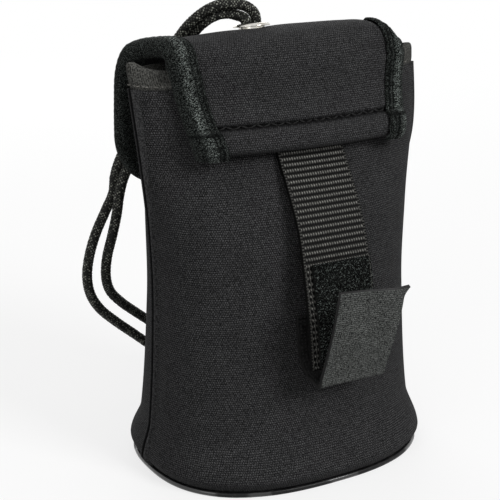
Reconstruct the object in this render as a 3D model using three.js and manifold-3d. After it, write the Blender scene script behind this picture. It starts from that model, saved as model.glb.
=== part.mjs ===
// A belt and neck pouch for a compact camera, sewn from neoprene sheet, closed by a flap.
// Millimetres, +Z up. The origin is the middle of the sole's flat underside. The back of the
// pouch, with the belt strap, faces -Y, and the flap closes down the front, at +Y.
import * as THREE from "three";
import Module from "manifold-3d";
import { mergeVertices } from "three/addons/utils/BufferGeometryUtils.js";

// Sheet goods and the clearance between pieces that touch
const GAP = 0.3;
const CURVED_GAP = 0.4;
const NEOPRENE = 3.5;
const FLAP_SHEET = 3.2;
const BINDING = 0.9;
const TAPE = 1.3;
const WEBBING = 1.5;

// Heights of the sections that shape the pouch
const SOLE_THICKNESS = 1.8;
const FLARE_Z = 6;
const ANKLE_Z = 18;
const WAIST_Z = 60;
const SHOULDER_Z = 88;
const NECK_Z = 112;
const MOUTH_Z = 140;

// The pouch round its waist: half width, depth to the back and depth to the front, and how far
// the soft sheet leans to the right of the middle
const WAIST_SECTION = { wide: 47.5, back: 28.5, front: 29.3, square: 2.5, lean: 0.5 };

// The other sections, by how far they stand out from the waist, their squareness and lean
function beyondWaist(wide, back, front, square, lean = 0) {
  return {
    wide: WAIST_SECTION.wide + wide,
    back: WAIST_SECTION.back + back,
    front: WAIST_SECTION.front + front,
    square,
    lean,
  };
}

const SOLE_SECTION = beyondWaist(2.9, 11.1, 10.3, 2.5);
const FLARE_SECTION = beyondWaist(4.9, 13.2, 12.4, 2.5);
const ANKLE_SECTION = beyondWaist(1.8, 5.8, 5.2, 2.5);
const SHOULDER_SECTION = beyondWaist(1.3, -3, -2.3, 2.4, 1);
const NECK_SECTION = beyondWaist(5.4, -13, -9.8, 2.0, 2.4);
const MOUTH_SECTION = beyondWaist(7, -17.7, -14.5, 1.7);

// Seams, mouth band and base
const SEAM_WIDTH = 5;
const SEAM_THICKNESS = 1.2;
const BAND_HEIGHT = 5.4;
const BAND_THICKNESS = 3;
const BASE_BINDING_WIDTH = 6;
const BASE_BINDING_HEIGHT = 4;

// Flap: where its hem ends, its half widths, and how the lid runs over the mouth
const HEM_Z = 112.5;
const HEM_HEIGHT = 9;
const HEM_FOLD = 2.2;
const HEM_SPREAD = 2.2;
const HEM_HALF_WIDTH = NECK_SECTION.wide - 16.1;
const BEND_HALF_WIDTH = MOUTH_SECTION.wide - 11.8;
const RIDGE_HALF_WIDTH = MOUTH_SECTION.wide - 10.7;
const LID_HALF_WIDTH = MOUTH_SECTION.wide - 5.8;
const LID_CORNER_RADIUS = 20;
const LID_RISE = 7;
const LID_DROP = 42;
const LID_LEAN_IN = 1.8;
const LID_BROW = 1.2;
const LID_KICK = 0.6;
const BINDING_WIDTH = 8.5;

// Closure patches
const CLOSURE_HALF_WIDTH = 24;
const CLOSURE_HEIGHT = 17;
const CLOSURE_LIFT = 5;

// Eyelet, set through the lid just in front of the ridge
const EYELET_X = -6;
const EYELET_HOLE = 3.8;
const EYELET_BARREL = 4.4;
const EYELET_FLANGE = 6.3;
const EYELET_METAL = 0.9;
const EYELET_ROUNDING = 0.3;

// Belt strap and hook tab
const STRAP_X = 2.9;
const STRAP_WIDTH = 25.4;
const STRAP_END_Z = 43;
const STRAP_STANDOFF = 3.2;
const STRAP_SWAY = 7.8;
const STRAP_PATCH_TOP = 78;
const STRAP_PATCH_WIDTH = 22.4;
const STRAP_PATCH_EDGE = 0.4;
const STRAP_PATCH_END = 0.6;
const STRAP_ANCHOR_HEIGHT = 9;
const TAB_WIDTH = 25;
const TAB_ANCHOR_TOP = 59;
const TAB_SEWN_LENGTH = 7;
const TAB_ANCHOR_BOTTOM = 46;
const TAB_STAND_OUT = 16.1;
const TAB_PIVOT_Y = -WAIST_SECTION.back - TAB_STAND_OUT;
const TAB_PIVOT_Z = 37.6;
const TAB_RUN_OUT = 9;
const TAB_RUN_RISE = 2.4;
const TAB_FOLD_REACH = 3.3;
const TAB_LENGTH = 37;
const TAB_BOW = 0.9;
const TAB_LEAN = 16;

// Neck cord: one braided cord, both ends tied behind the eyelet
const CORD = 3.5;
const CORD_SIDES = 8;
const CORD_STEP = 7;
const COIL_X = 26;
const COIL_Y = 73;
const COIL_RADIUS = 24;
const COIL_PITCH = 4.05;
const COIL_SIDES = 6;
const COIL_STEPS = 24;
const LOWER_TURNS = 1.75;
const CLIMB_TURNS = 0.5;
const UPPER_TURNS = 1.5;
const COIL_SLACK = 0.1;
const TIE = 0.7;
const TIE_LENGTH = 5;
const TIE_TURN = 36;
const KNOT_RADIUS = 4.6;
const KNOT_HEIGHT = 4.6;

const wasm = await Module();
wasm.setup();

const NEOPRENE_BLACK = { color: 0x2c2d2e, roughness: 0.9, metalness: 0 };
const BINDING_BLACK = { color: 0x333836, roughness: 0.95, metalness: 0 };
const KNIT_GREY = { color: 0x4a4a4a, roughness: 0.95, metalness: 0 };
const WEBBING_GREY = { color: 0x3a3a38, roughness: 0.8, metalness: 0 };
const LOOP_BLACK = { color: 0x161616, roughness: 1, metalness: 0 };
const HOOK_GREY = { color: 0x4c4c4e, roughness: 0.7, metalness: 0 };
const SOLE_BLACK = { color: 0x1c1c1d, roughness: 0.3, metalness: 0 };
const NICKEL = { color: 0xd8d6d0, roughness: 0.25, metalness: 1 };
const CORD_BLACK = { color: 0x1d1f1d, roughness: 0.85, metalness: 0 };

const pouch = new THREE.Group();
const lid = new THREE.Group();
const beltStrap = new THREE.Group();
const hookTab = new THREE.Group();

function signedVolume(positions, faces) {
  let volume = 0;
  for (const [a, b, c] of faces) {
    const [p, q, r] = [positions[a], positions[b], positions[c]];
    volume += p.dot(new THREE.Vector3().crossVectors(q, r)) / 6;
  }
  return volume;
}

// A closed body from shared points and triangles, its faces turned outwards.
function bodyFrom(positions, faces) {
  const turned = signedVolume(positions, faces) < 0;
  const geometry = new THREE.BufferGeometry();
  const flat = positions.flatMap((p) => [p.x, p.y, p.z]);
  const index = faces.flatMap(([a, b, c]) => (turned ? [a, c, b] : [a, b, c]));
  geometry.setAttribute("position", new THREE.Float32BufferAttribute(flat, 3));
  geometry.setIndex(index);
  geometry.computeVertexNormals();
  return geometry;
}

// A sheet between two surfaces, each a function of across and along, both from 0 to 1.
function sheet(outer, inner, acrossSteps, alongSteps) {
  const positions = [];
  const faces = [];
  const row = acrossSteps + 1;
  for (const surface of [outer, inner]) {
    for (let j = 0; j <= alongSteps; j++) {
      for (let i = 0; i <= acrossSteps; i++) {
        positions.push(surface(i / acrossSteps, j / alongSteps));
      }
    }
  }
  const layer = row * (alongSteps + 1);
  const at = (i, j, face) => face * layer + j * row + i;
  for (let j = 0; j < alongSteps; j++) {
    for (let i = 0; i < acrossSteps; i++) {
      quad(faces, at(i, j, 0), at(i + 1, j, 0), at(i + 1, j + 1, 0), at(i, j + 1, 0));
      quad(faces, at(i, j, 1), at(i, j + 1, 1), at(i + 1, j + 1, 1), at(i + 1, j, 1));
    }
  }
  const end = alongSteps;
  for (let i = 0; i < acrossSteps; i++) {
    quad(faces, at(i, 0, 0), at(i, 0, 1), at(i + 1, 0, 1), at(i + 1, 0, 0));
    quad(faces, at(i, end, 0), at(i + 1, end, 0), at(i + 1, end, 1), at(i, end, 1));
  }
  const side = acrossSteps;
  for (let j = 0; j < alongSteps; j++) {
    quad(faces, at(0, j, 0), at(0, j + 1, 0), at(0, j + 1, 1), at(0, j, 1));
    quad(faces, at(side, j, 0), at(side, j, 1), at(side, j + 1, 1), at(side, j + 1, 0));
  }
  return bodyFrom(positions, faces);
}

function quad(faces, a, b, c, d) {
  faces.push([a, b, c], [a, c, d]);
}

// A ring whose cross-section corners are functions of the angle round it.
function ring(corners, steps) {
  const positions = [];
  const faces = [];
  const count = corners.length;
  for (let i = 0; i < steps; i++) {
    const angle = (i / steps) * 2 * Math.PI;
    for (const corner of corners) positions.push(corner(angle));
  }
  for (let i = 0; i < steps; i++) {
    const here = i * count;
    const next = ((i + 1) % steps) * count;
    for (let k = 0; k < count; k++) {
      const other = (k + 1) % count;
      quad(faces, here + k, next + k, next + other, here + other);
    }
  }
  return bodyFrom(positions, faces);
}

function asManifold(geometry) {
  const bare = geometry.clone();
  bare.deleteAttribute("normal");
  bare.deleteAttribute("uv");
  const merged = mergeVertices(bare, 1e-4);
  const mesh = new wasm.Mesh({
    numProp: 3,
    vertProperties: new Float32Array(merged.attributes.position.array),
    triVerts: new Uint32Array(merged.index.array),
  });
  return new wasm.Manifold(mesh);
}

function fromManifold(solid) {
  const mesh = solid.getMesh();
  const geometry = new THREE.BufferGeometry();
  geometry.setAttribute("position", new THREE.Float32BufferAttribute(mesh.vertProperties, 3));
  geometry.setIndex(Array.from(mesh.triVerts));
  geometry.computeVertexNormals();
  return geometry;
}

function cut(geometry, tool) {
  return fromManifold(asManifold(geometry).subtract(asManifold(tool)));
}

function addPiece(group, name, geometry, finish) {
  const mesh = new THREE.Mesh(geometry, new THREE.MeshStandardMaterial(finish));
  mesh.name = name;
  group.add(mesh);
  return mesh;
}

// A smooth value through stations given as [place, value] pairs.
function through(stations, place) {
  const last = stations.length - 1;
  let k = 0;
  while (k < last - 1 && place > stations[k + 1][0]) k++;
  const slope = (i) => {
    const before = stations[Math.max(i - 1, 0)];
    const after = stations[Math.min(i + 1, last)];
    return (after[1] - before[1]) / (after[0] - before[0]);
  };
  const span = stations[k + 1][0] - stations[k][0];
  const t = THREE.MathUtils.clamp((place - stations[k][0]) / span, 0, 1);
  const rise = 3 * t * t - 2 * t * t * t;
  const start = slope(k) * span * (t - 2 * t * t + t * t * t);
  const end = slope(k + 1) * span * (t * t * t - t * t);
  return stations[k][1] * (1 - rise) + stations[k + 1][1] * rise + start + end;
}

const PANEL_BOTTOM = SOLE_THICKNESS + GAP;
const SECTIONS = [
  [PANEL_BOTTOM, SOLE_SECTION],
  [FLARE_Z, FLARE_SECTION],
  [ANKLE_Z, ANKLE_SECTION],
  [WAIST_Z, WAIST_SECTION],
  [SHOULDER_Z, SHOULDER_SECTION],
  [NECK_Z, NECK_SECTION],
  [MOUTH_Z, MOUTH_SECTION],
];

function bodySize(key, z) {
  return through(SECTIONS.map(([height, section]) => [height, section[key]]), z);
}

// A point on the pouch's outline at a height, moved outwards by grow. Angle 0 is +X.
function onBody(angle, z, grow = 0) {
  const power = 2 / bodySize("square", z);
  const cos = Math.cos(angle);
  const sin = Math.sin(angle);
  const depth = sin < 0 ? bodySize("back", z) : bodySize("front", z);
  const aside = (bodySize("wide", z) + grow) * Math.sign(cos) * Math.abs(cos) ** power;
  const y = (depth + grow) * Math.sign(sin) * Math.abs(sin) ** power;
  return new THREE.Vector3(bodySize("lean", z) + aside, y, z);
}

// How far the pouch's face stands out at x, on the back or on the front.
function faceDepth(side, x, z, grow = 0) {
  const square = bodySize("square", z);
  const wide = bodySize("wide", z) + grow;
  const reach = Math.min(Math.abs(x - bodySize("lean", z)) / wide, 1);
  return (bodySize(side, z) + grow) * (1 - reach ** square) ** (1 / square);
}

// Panels: half shells that meet at the side seams
const PANEL_TOP = MOUTH_Z - BAND_HEIGHT - GAP;

// Heights up the pouch, closer together at the flared base.
function panelHeight(along) {
  return THREE.MathUtils.lerp(PANEL_BOTTOM, PANEL_TOP, along * (1 + along) / 2);
}

function panel(from, to) {
  const trim = Math.asin((GAP / 2 / WAIST_SECTION.back) ** (WAIST_SECTION.square / 2));
  const angle = (across) => THREE.MathUtils.lerp(from + trim, to - trim, across);
  const outer = (u, v) => onBody(angle(u), panelHeight(v));
  const inner = (u, v) => onBody(angle(u), panelHeight(v), -NEOPRENE);
  return sheet(outer, inner, 24, 18);
}

function sideSeam(side) {
  const place = (across, along, stand) => {
    const z = panelHeight(along);
    const y = (across - 0.5) * SEAM_WIDTH;
    return new THREE.Vector3(bodySize("lean", z) + side * (bodySize("wide", z) + stand), y, z);
  };
  const outer = (u, v) => place(u, v, GAP + SEAM_THICKNESS);
  const inner = (u, v) => place(u, v, GAP);
  return sheet(outer, inner, 1, 18);
}

addPiece(pouch, "back_panel", panel(Math.PI, 2 * Math.PI), NEOPRENE_BLACK);
addPiece(pouch, "front_panel", panel(0, Math.PI), NEOPRENE_BLACK);
addPiece(pouch, "left_side_seam", sideSeam(-1), NEOPRENE_BLACK);
addPiece(pouch, "right_side_seam", sideSeam(1), NEOPRENE_BLACK);

// Mouth band, standing on the panels' top edges
const BAND_BOTTOM = PANEL_TOP + GAP;
addPiece(pouch, "mouth_band", ring([
  (angle) => onBody(angle, BAND_BOTTOM),
  (angle) => onBody(angle, MOUTH_Z),
  (angle) => onBody(angle, MOUTH_Z, -BAND_THICKNESS),
  (angle) => onBody(angle, BAND_BOTTOM, -BAND_THICKNESS),
], 64), KNIT_GREY);

// Base: a glossy moulded sole, a neoprene pad inside, and the binding over its inner seam
const BASE_STEPS = 56;

function basePlate(grow, bottom, top) {
  const outline = new THREE.Shape();
  for (let i = 0; i < BASE_STEPS; i++) {
    const point = onBody((i / BASE_STEPS) * 2 * Math.PI, PANEL_BOTTOM, grow);
    if (i === 0) outline.moveTo(point.x, point.y);
    else outline.lineTo(point.x, point.y);
  }
  outline.closePath();
  const plate = new THREE.ExtrudeGeometry(outline, { depth: top - bottom, bevelEnabled: false });
  plate.translate(0, 0, bottom);
  return plate;
}

const PAD_TOP = PANEL_BOTTOM + NEOPRENE;
addPiece(pouch, "sole", basePlate(0, 0, SOLE_THICKNESS), SOLE_BLACK);
addPiece(pouch, "base_pad", basePlate(-NEOPRENE - GAP, PANEL_BOTTOM, PAD_TOP), NEOPRENE_BLACK);
const BINDING_OUT = -NEOPRENE - 2 * GAP;
const onPad = (angle, inwards, z) => onBody(angle, PANEL_BOTTOM, BINDING_OUT - inwards).setZ(z);
addPiece(pouch, "base_binding", ring([
  (angle) => onPad(angle, 0, PAD_TOP + GAP),
  (angle) => onPad(angle, 0, PAD_TOP + BASE_BINDING_HEIGHT),
  (angle) => onPad(angle, BASE_BINDING_WIDTH, PAD_TOP + GAP),
], 48), BINDING_BLACK);

// Loop patch of the closure, sewn on the front panel under the flap's free end
const LID_END_Z = MOUTH_Z - LID_DROP;
const CLOSURE_BOTTOM = LID_END_Z + CLOSURE_LIFT;

function closurePatch() {
  const place = (across, along, grow) => {
    const x = (across * 2 - 1) * CLOSURE_HALF_WIDTH;
    const z = CLOSURE_BOTTOM + along * CLOSURE_HEIGHT;
    return new THREE.Vector3(x, faceDepth("front", x, z, grow), z);
  };
  return sheet((u, v) => place(u, v, GAP + TAPE), (u, v) => place(u, v, GAP), 10, 4);
}

addPiece(pouch, "closure_loop_patch", closurePatch(), LOOP_BLACK);

// Flap root: the leaf sewn to the back, over the strap's stitched end, its hem turned under
const ROOT_TOP = MOUTH_Z - GAP / 2;
const STRAP_ROOM = WEBBING + GAP;
const HEM_TOP = HEM_Z + HEM_HEIGHT;

function rootHalfWidth(z) {
  const stations = [
    [HEM_Z, HEM_HALF_WIDTH],
    [HEM_TOP, HEM_HALF_WIDTH + HEM_SPREAD],
    [ROOT_TOP, BEND_HALF_WIDTH],
  ];
  return through(stations, z);
}

// Room that the strap's end takes under the leaf.
function leafLift(z) {
  const stations = [
    [HEM_Z, STRAP_ROOM],
    [HEM_TOP, STRAP_ROOM],
    [HEM_TOP + HEM_HEIGHT, 0],
    [MOUTH_Z, 0],
  ];
  return through(stations, z);
}

// The extra thickness of the hem, where the sheet is turned under and sewn.
function hemBulge(z) {
  const stations = [
    [HEM_Z, HEM_FOLD * 0.2],
    [HEM_Z + HEM_FOLD, HEM_FOLD],
    [HEM_TOP - HEM_FOLD, HEM_FOLD * 0.8],
    [HEM_TOP, 0],
    [MOUTH_Z, 0],
  ];
  return through(stations, z);
}

function rootPoint(x, z, stand) {
  const depth = faceDepth("back", x, z, CURVED_GAP) + leafLift(z) + stand;
  return new THREE.Vector3(x, -depth, z);
}

function rootLeaf() {
  const place = (across, along, stand) => {
    const z = THREE.MathUtils.lerp(HEM_Z, ROOT_TOP, along);
    return rootPoint((across * 2 - 1) * rootHalfWidth(z), z, stand(z));
  };
  const outer = (u, v) => place(u, v, (z) => FLAP_SHEET + hemBulge(z));
  const inner = (u, v) => place(u, v, () => 0);
  return sheet(outer, inner, 12, 12);
}

// How a binding crosses an edge: along the face to WRAP_AT, then down over the sheet's edge.
const WRAP_AT = 0.75;

function overEdge(across, stand, thick) {
  if (across <= WRAP_AT) {
    return { out: (across / WRAP_AT) * (BINDING_WIDTH + stand) - BINDING_WIDTH, lift: thick + stand };
  }
  return { out: stand, lift: ((thick + stand) * (1 - across)) / (1 - WRAP_AT) };
}

// The binding lies on the leaf's outer face and turns over its edge.
function rootBinding(side) {
  const place = (across, along, stand) => {
    const z = THREE.MathUtils.lerp(HEM_Z, ROOT_TOP, along);
    const { out, lift } = overEdge(across, stand, FLAP_SHEET + hemBulge(z));
    return rootPoint(side * (rootHalfWidth(z) + out), z, lift);
  };
  const outer = (u, v) => place(u, v, CURVED_GAP + BINDING);
  const inner = (u, v) => place(u, v, CURVED_GAP);
  return sheet(outer, inner, 4, 12);
}

addPiece(pouch, "flap_root", rootLeaf(), NEOPRENE_BLACK);
addPiece(pouch, "left_root_binding", rootBinding(-1), BINDING_BLACK);
addPiece(pouch, "right_root_binding", rootBinding(1), BINDING_BLACK);

// Flap lid: it rises from the mouth's back edge, goes over, and drops down the front
const LID_BACK = MOUTH_SECTION.back + GAP;
const LID_FRONT = MOUTH_SECTION.front + 2 * TAPE + 3 * GAP;
const LID_FOOT_DEPTH = bodySize("front", LID_END_Z) + 2 * TAPE + 3 * GAP;
const LID_BOTTOM = MOUTH_Z + GAP / 2;

// A point of the lid's way down the front, by its share of the way out and of the drop.
function downFront(outShare, dropShare) {
  const y = THREE.MathUtils.lerp(LID_FRONT, LID_FOOT_DEPTH, outShare);
  return new THREE.Vector2(y, MOUTH_Z - LID_DROP * dropShare);
}

const LID_PROFILE = new THREE.SplineCurve([
  new THREE.Vector2(-LID_BACK, LID_BOTTOM),
  new THREE.Vector2(-LID_BACK + LID_LEAN_IN, MOUTH_Z + LID_RISE * 0.52),
  new THREE.Vector2(-LID_BACK * 0.42, MOUTH_Z + LID_RISE * 0.92),
  new THREE.Vector2(LID_FRONT * 0.16, MOUTH_Z + LID_RISE),
  new THREE.Vector2(LID_FRONT * 0.62, MOUTH_Z + LID_RISE * 0.7),
  new THREE.Vector2(LID_FRONT * 0.93, MOUTH_Z - LID_BROW),
  downFront(0.2, 0.26),
  downFront(0.52, 0.52),
  downFront(0.82, 0.8),
  new THREE.Vector2(LID_FOOT_DEPTH + LID_KICK, LID_END_Z),
]);
const LID_LENGTH = LID_PROFILE.getLength();

// Shares of the lid's length at which it tops out and has turned down the front
const RIDGE_AT = 0.2;
const SHOULDER_AT = 0.34;

function lidHalfWidth(t) {
  const stations = [
    [0, BEND_HALF_WIDTH],
    [RIDGE_AT, RIDGE_HALF_WIDTH],
    [SHOULDER_AT, LID_HALF_WIDTH],
    [1, LID_HALF_WIDTH - LID_BROW],
  ];
  return through(stations, t);
}

// How far the lid's edges fall back towards the middle of the pouch, at a place along it.
const EDGE_FORWARD = 6.1;
const EDGE_BACK = 6;

function lidSag(t) {
  const stations = [
    [0, -EDGE_FORWARD],
    [RIDGE_AT / 2, -EDGE_FORWARD * 0.36],
    [RIDGE_AT, 0],
    [SHOULDER_AT, EDGE_BACK * 0.1],
    [0.6, EDGE_BACK * 0.5],
    [1, EDGE_BACK],
  ];
  return through(stations, t);
}

// How far the lid's edges hang lower than its middle.
const EDGE_DROOP = 3;

function lidDroop(t) {
  const stations = [
    [0, 0],
    [RIDGE_AT, EDGE_DROOP * 0.8],
    [SHOULDER_AT, EDGE_DROOP * 0.93],
    [1, EDGE_DROOP],
  ];
  return through(stations, t);
}

function lidPoint(x, t, stand) {
  const place = THREE.MathUtils.clamp(t, 0, 1);
  const point = LID_PROFILE.getPointAt(place);
  const tangent = LID_PROFILE.getTangentAt(place);
  const past = (t - place) * LID_LENGTH;
  const outwards = (x / lidHalfWidth(place)) ** 2;
  const y = point.x + tangent.x * past - tangent.y * stand - lidSag(place) * outwards;
  const z = point.y + tangent.y * past + tangent.x * stand - lidDroop(place) * outwards;
  return new THREE.Vector3(x, y, z);
}

// Half width with the free end's corners rounded off.
function lidEdge(t) {
  const toEnd = (1 - t) * LID_LENGTH;
  const inCorner = Math.max(LID_CORNER_RADIUS - toEnd, 0);
  const bite = LID_CORNER_RADIUS - Math.sqrt(Math.max(LID_CORNER_RADIUS ** 2 - inCorner ** 2, 0));
  return lidHalfWidth(t) - bite;
}

// Places along the lid, closer together past CORNER_FROM, where the corners round off.
const CORNER_FROM = 0.62;

function lidPlace(along) {
  const cornerAt = 1 - LID_CORNER_RADIUS / LID_LENGTH;
  if (along < CORNER_FROM) return (along / CORNER_FROM) * cornerAt;
  const turn = ((along - CORNER_FROM) / (1 - CORNER_FROM)) * (Math.PI / 2);
  return cornerAt + (Math.sin(turn) * LID_CORNER_RADIUS) / LID_LENGTH;
}

function lidSheet() {
  const place = (across, along, stand) => {
    const t = lidPlace(along);
    return lidPoint((across * 2 - 1) * lidEdge(t), t, stand);
  };
  const outer = (u, v) => place(u, v, FLAP_SHEET);
  const inner = (u, v) => place(u, v, 0);
  return sheet(outer, inner, 12, 34);
}

// The binding follows the lid's edge down one side, round the free end and up the other. The
// straight run across the free end is this share of its travel.
const END_SHARE = 0.25;

function lidRim(travel) {
  const side = travel < 0.5 ? -1 : 1;
  const half = travel < 0.5 ? travel * 2 : (1 - travel) * 2;
  if (half < 1 - END_SHARE) {
    const t = lidPlace(half / (1 - END_SHARE));
    const toEnd = (1 - t) * LID_LENGTH;
    const inCorner = THREE.MathUtils.clamp((LID_CORNER_RADIUS - toEnd) / LID_CORNER_RADIUS, 0, 1);
    const turn = Math.asin(inCorner);
    return { x: side * lidEdge(t), t, outX: side * Math.cos(turn), outT: Math.sin(turn) };
  }
  const flat = (1 - half) / END_SHARE;
  return { x: side * flat * lidEdge(1), t: 1, outX: 0, outT: 1 };
}

function lidBinding() {
  const place = (across, along, stand) => {
    const rim = lidRim(along);
    const { out, lift } = overEdge(across, stand, FLAP_SHEET);
    return lidPoint(rim.x + rim.outX * out, rim.t + (rim.outT * out) / LID_LENGTH, lift);
  };
  const outer = (u, v) => place(u, v, CURVED_GAP + BINDING);
  const inner = (u, v) => place(u, v, CURVED_GAP);
  return sheet(outer, inner, 4, 72);
}

function closureHooks() {
  const from = 1 - (CLOSURE_LIFT + CLOSURE_HEIGHT) / LID_LENGTH;
  const to = 1 - CLOSURE_LIFT / LID_LENGTH;
  const place = (across, along, stand) => {
    const x = (across * 2 - 1) * CLOSURE_HALF_WIDTH;
    return lidPoint(x, THREE.MathUtils.lerp(from, to, along), stand);
  };
  return sheet((u, v) => place(u, v, -GAP), (u, v) => place(u, v, -GAP - TAPE), 10, 4);
}

// The eyelet's own frame: its axis stands square on the lid.
const EYELET_AT = 0.27;
const eyeletSeat = new THREE.Group();
const seatPoint = lidPoint(EYELET_X, EYELET_AT, 0);
const seatAxis = lidPoint(EYELET_X, EYELET_AT, 1).sub(seatPoint).normalize();
const seatTurn = new THREE.Quaternion().setFromUnitVectors(new THREE.Vector3(0, 0, 1), seatAxis);
eyeletSeat.position.copy(seatPoint);
eyeletSeat.quaternion.copy(seatTurn);
lid.add(eyeletSeat);

// A turned ring from radius and height pairs, its axis along Z.
function turned(profile) {
  const points = profile.map(([radius, height]) => new THREE.Vector2(radius, height));
  points.push(points[0].clone());
  const lathe = new THREE.LatheGeometry(points, 24);
  lathe.rotateX(Math.PI / 2);
  const solid = asManifold(lathe);
  return solid.volume() < 0 ? fromManifold(asManifold(flipped(lathe))) : fromManifold(solid);
}

function flipped(geometry) {
  const copy = geometry.clone();
  const order = Array.from(copy.index.array);
  for (let i = 0; i < order.length; i += 3) [order[i + 1], order[i + 2]] = [order[i + 2], order[i + 1]];
  copy.setIndex(order);
  return copy;
}

const FACE_TOP = FLAP_SHEET + GAP;
const WASHER_TOP = -GAP;
const WASHER_BOTTOM = WASHER_TOP - EYELET_METAL;

// A round cutter on the eyelet's axis, between two heights over the lid's inner face.
function eyeletCutter(radius, low, high) {
  const cutter = new THREE.CylinderGeometry(radius, radius, high - low, 24);
  cutter.rotateX(Math.PI / 2);
  cutter.translate(0, 0, (low + high) / 2);
  cutter.applyQuaternion(seatTurn);
  return cutter.translate(seatPoint.x, seatPoint.y, seatPoint.z);
}

const barrelHole = eyeletCutter(EYELET_BARREL + GAP, -NEOPRENE, FLAP_SHEET + NEOPRENE);
const washerSeat = eyeletCutter(EYELET_FLANGE + GAP, -NEOPRENE, 0);
const lidSolid = cut(cut(lidSheet(), barrelHole), washerSeat);

addPiece(lid, "flap_lid", lidSolid, NEOPRENE_BLACK);
addPiece(lid, "lid_binding", lidBinding(), BINDING_BLACK);
addPiece(lid, "closure_hook_patch", closureHooks(), HOOK_GREY);
addPiece(eyeletSeat, "eyelet", turned([
  [EYELET_HOLE, WASHER_BOTTOM],
  [EYELET_BARREL, WASHER_BOTTOM],
  [EYELET_BARREL, FACE_TOP],
  [EYELET_FLANGE, FACE_TOP],
  [EYELET_FLANGE - EYELET_ROUNDING, FACE_TOP + EYELET_METAL * 0.7],
  [EYELET_BARREL + 2 * EYELET_ROUNDING, FACE_TOP + EYELET_METAL],
  [EYELET_HOLE, FACE_TOP + EYELET_METAL * 0.5],
]), NICKEL);
addPiece(eyeletSeat, "eyelet_washer", turned([
  [EYELET_BARREL + GAP, WASHER_BOTTOM],
  [EYELET_FLANGE, WASHER_BOTTOM],
  [EYELET_FLANGE, WASHER_TOP],
  [EYELET_BARREL + GAP, WASHER_TOP],
]), NICKEL);

// Belt strap: ribbed webbing that hangs from the hem and stands off the back
const PIVOT_Z = HEM_Z - WEBBING / 2 - GAP;
const PIVOT_DEPTH = faceDepth("back", STRAP_X, PIVOT_Z, GAP) + WEBBING / 2;

// Shares of the strap's height at which it is shaped, and where it first stands clear.
const STRAP_SHARES = [0.17, 0.345, 0.55, 0.755, 1];

function strapStation(share) {
  const z = THREE.MathUtils.lerp(PIVOT_Z, STRAP_END_Z, share);
  const back = faceDepth("back", 0, Math.max(z, WAIST_Z));
  const sway = STRAP_SWAY * THREE.MathUtils.inverseLerp(STRAP_SHARES[0], 1, share);
  return new THREE.Vector2(-back - STRAP_STANDOFF - sway, z);
}

const STRAP_PROFILE = new THREE.SplineCurve([
  new THREE.Vector2(-PIVOT_DEPTH, PIVOT_Z),
  ...STRAP_SHARES.map(strapStation),
]);

// An extrusion drawn in the YZ plane, turned so that its depth runs along X about a middle.
function acrossX(outline, width, middle, options = {}) {
  const geometry = new THREE.ExtrudeGeometry(outline, {
    depth: width, bevelEnabled: false, ...options });
  const toYZ = new THREE.Matrix4().makeBasis(
    new THREE.Vector3(0, 1, 0), new THREE.Vector3(0, 0, 1), new THREE.Vector3(1, 0, 0));
  geometry.applyMatrix4(toYZ);
  return geometry.translate(middle - width / 2, 0, 0);
}

// A flat band in the YZ plane along a curve, from one share of it to another, wide in X.
function band(curve, from, to, low, high, width, middle, steps) {
  const place = (share, stand) => {
    const point = curve.getPointAt(share);
    const tangent = curve.getTangentAt(share);
    return new THREE.Vector2(point.x + tangent.y * stand, point.y - tangent.x * stand);
  };
  const outline = new THREE.Shape();
  for (let i = 0; i <= steps; i++) {
    const point = place(THREE.MathUtils.lerp(from, to, i / steps), high);
    if (i === 0) outline.moveTo(point.x, point.y);
    else outline.lineTo(point.x, point.y);
  }
  for (let i = steps; i >= 0; i--) {
    const point = place(THREE.MathUtils.lerp(from, to, i / steps), low);
    outline.lineTo(point.x, point.y);
  }
  outline.closePath();
  return acrossX(outline, width, middle);
}

const HALF_WEB = WEBBING / 2;
const STRAP_LENGTH = STRAP_PROFILE.getLength();
const PATCH_FROM = (PIVOT_Z - STRAP_PATCH_TOP) / (PIVOT_Z - STRAP_END_Z);
const PATCH_X = STRAP_X + (STRAP_WIDTH - STRAP_PATCH_WIDTH) / 2 - STRAP_PATCH_EDGE;
const strap = band(STRAP_PROFILE, 0, 1, -HALF_WEB, HALF_WEB, STRAP_WIDTH, STRAP_X, 18);
const strapLoops = band(STRAP_PROFILE, PATCH_FROM, 1 - STRAP_PATCH_END / STRAP_LENGTH,
  HALF_WEB + GAP, HALF_WEB + GAP + TAPE, STRAP_PATCH_WIDTH, PATCH_X, 10);
addPiece(beltStrap, "strap", strap, WEBBING_GREY);
addPiece(beltStrap, "strap_loop_patch", strapLoops, LOOP_BLACK);

// The strap's stitched end, between the back panel and the hem
function strapAnchor() {
  const bottom = PIVOT_Z + HALF_WEB + GAP;
  const place = (across, along, grow) => {
    const x = STRAP_X + (across - 0.5) * STRAP_WIDTH;
    const z = bottom + along * STRAP_ANCHOR_HEIGHT;
    return new THREE.Vector3(x, -faceDepth("back", x, z, GAP) - grow, z);
  };
  return sheet((u, v) => place(u, v, WEBBING), (u, v) => place(u, v, 0), 8, 4);
}

addPiece(pouch, "strap_anchor", strapAnchor(), WEBBING_GREY);

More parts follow.
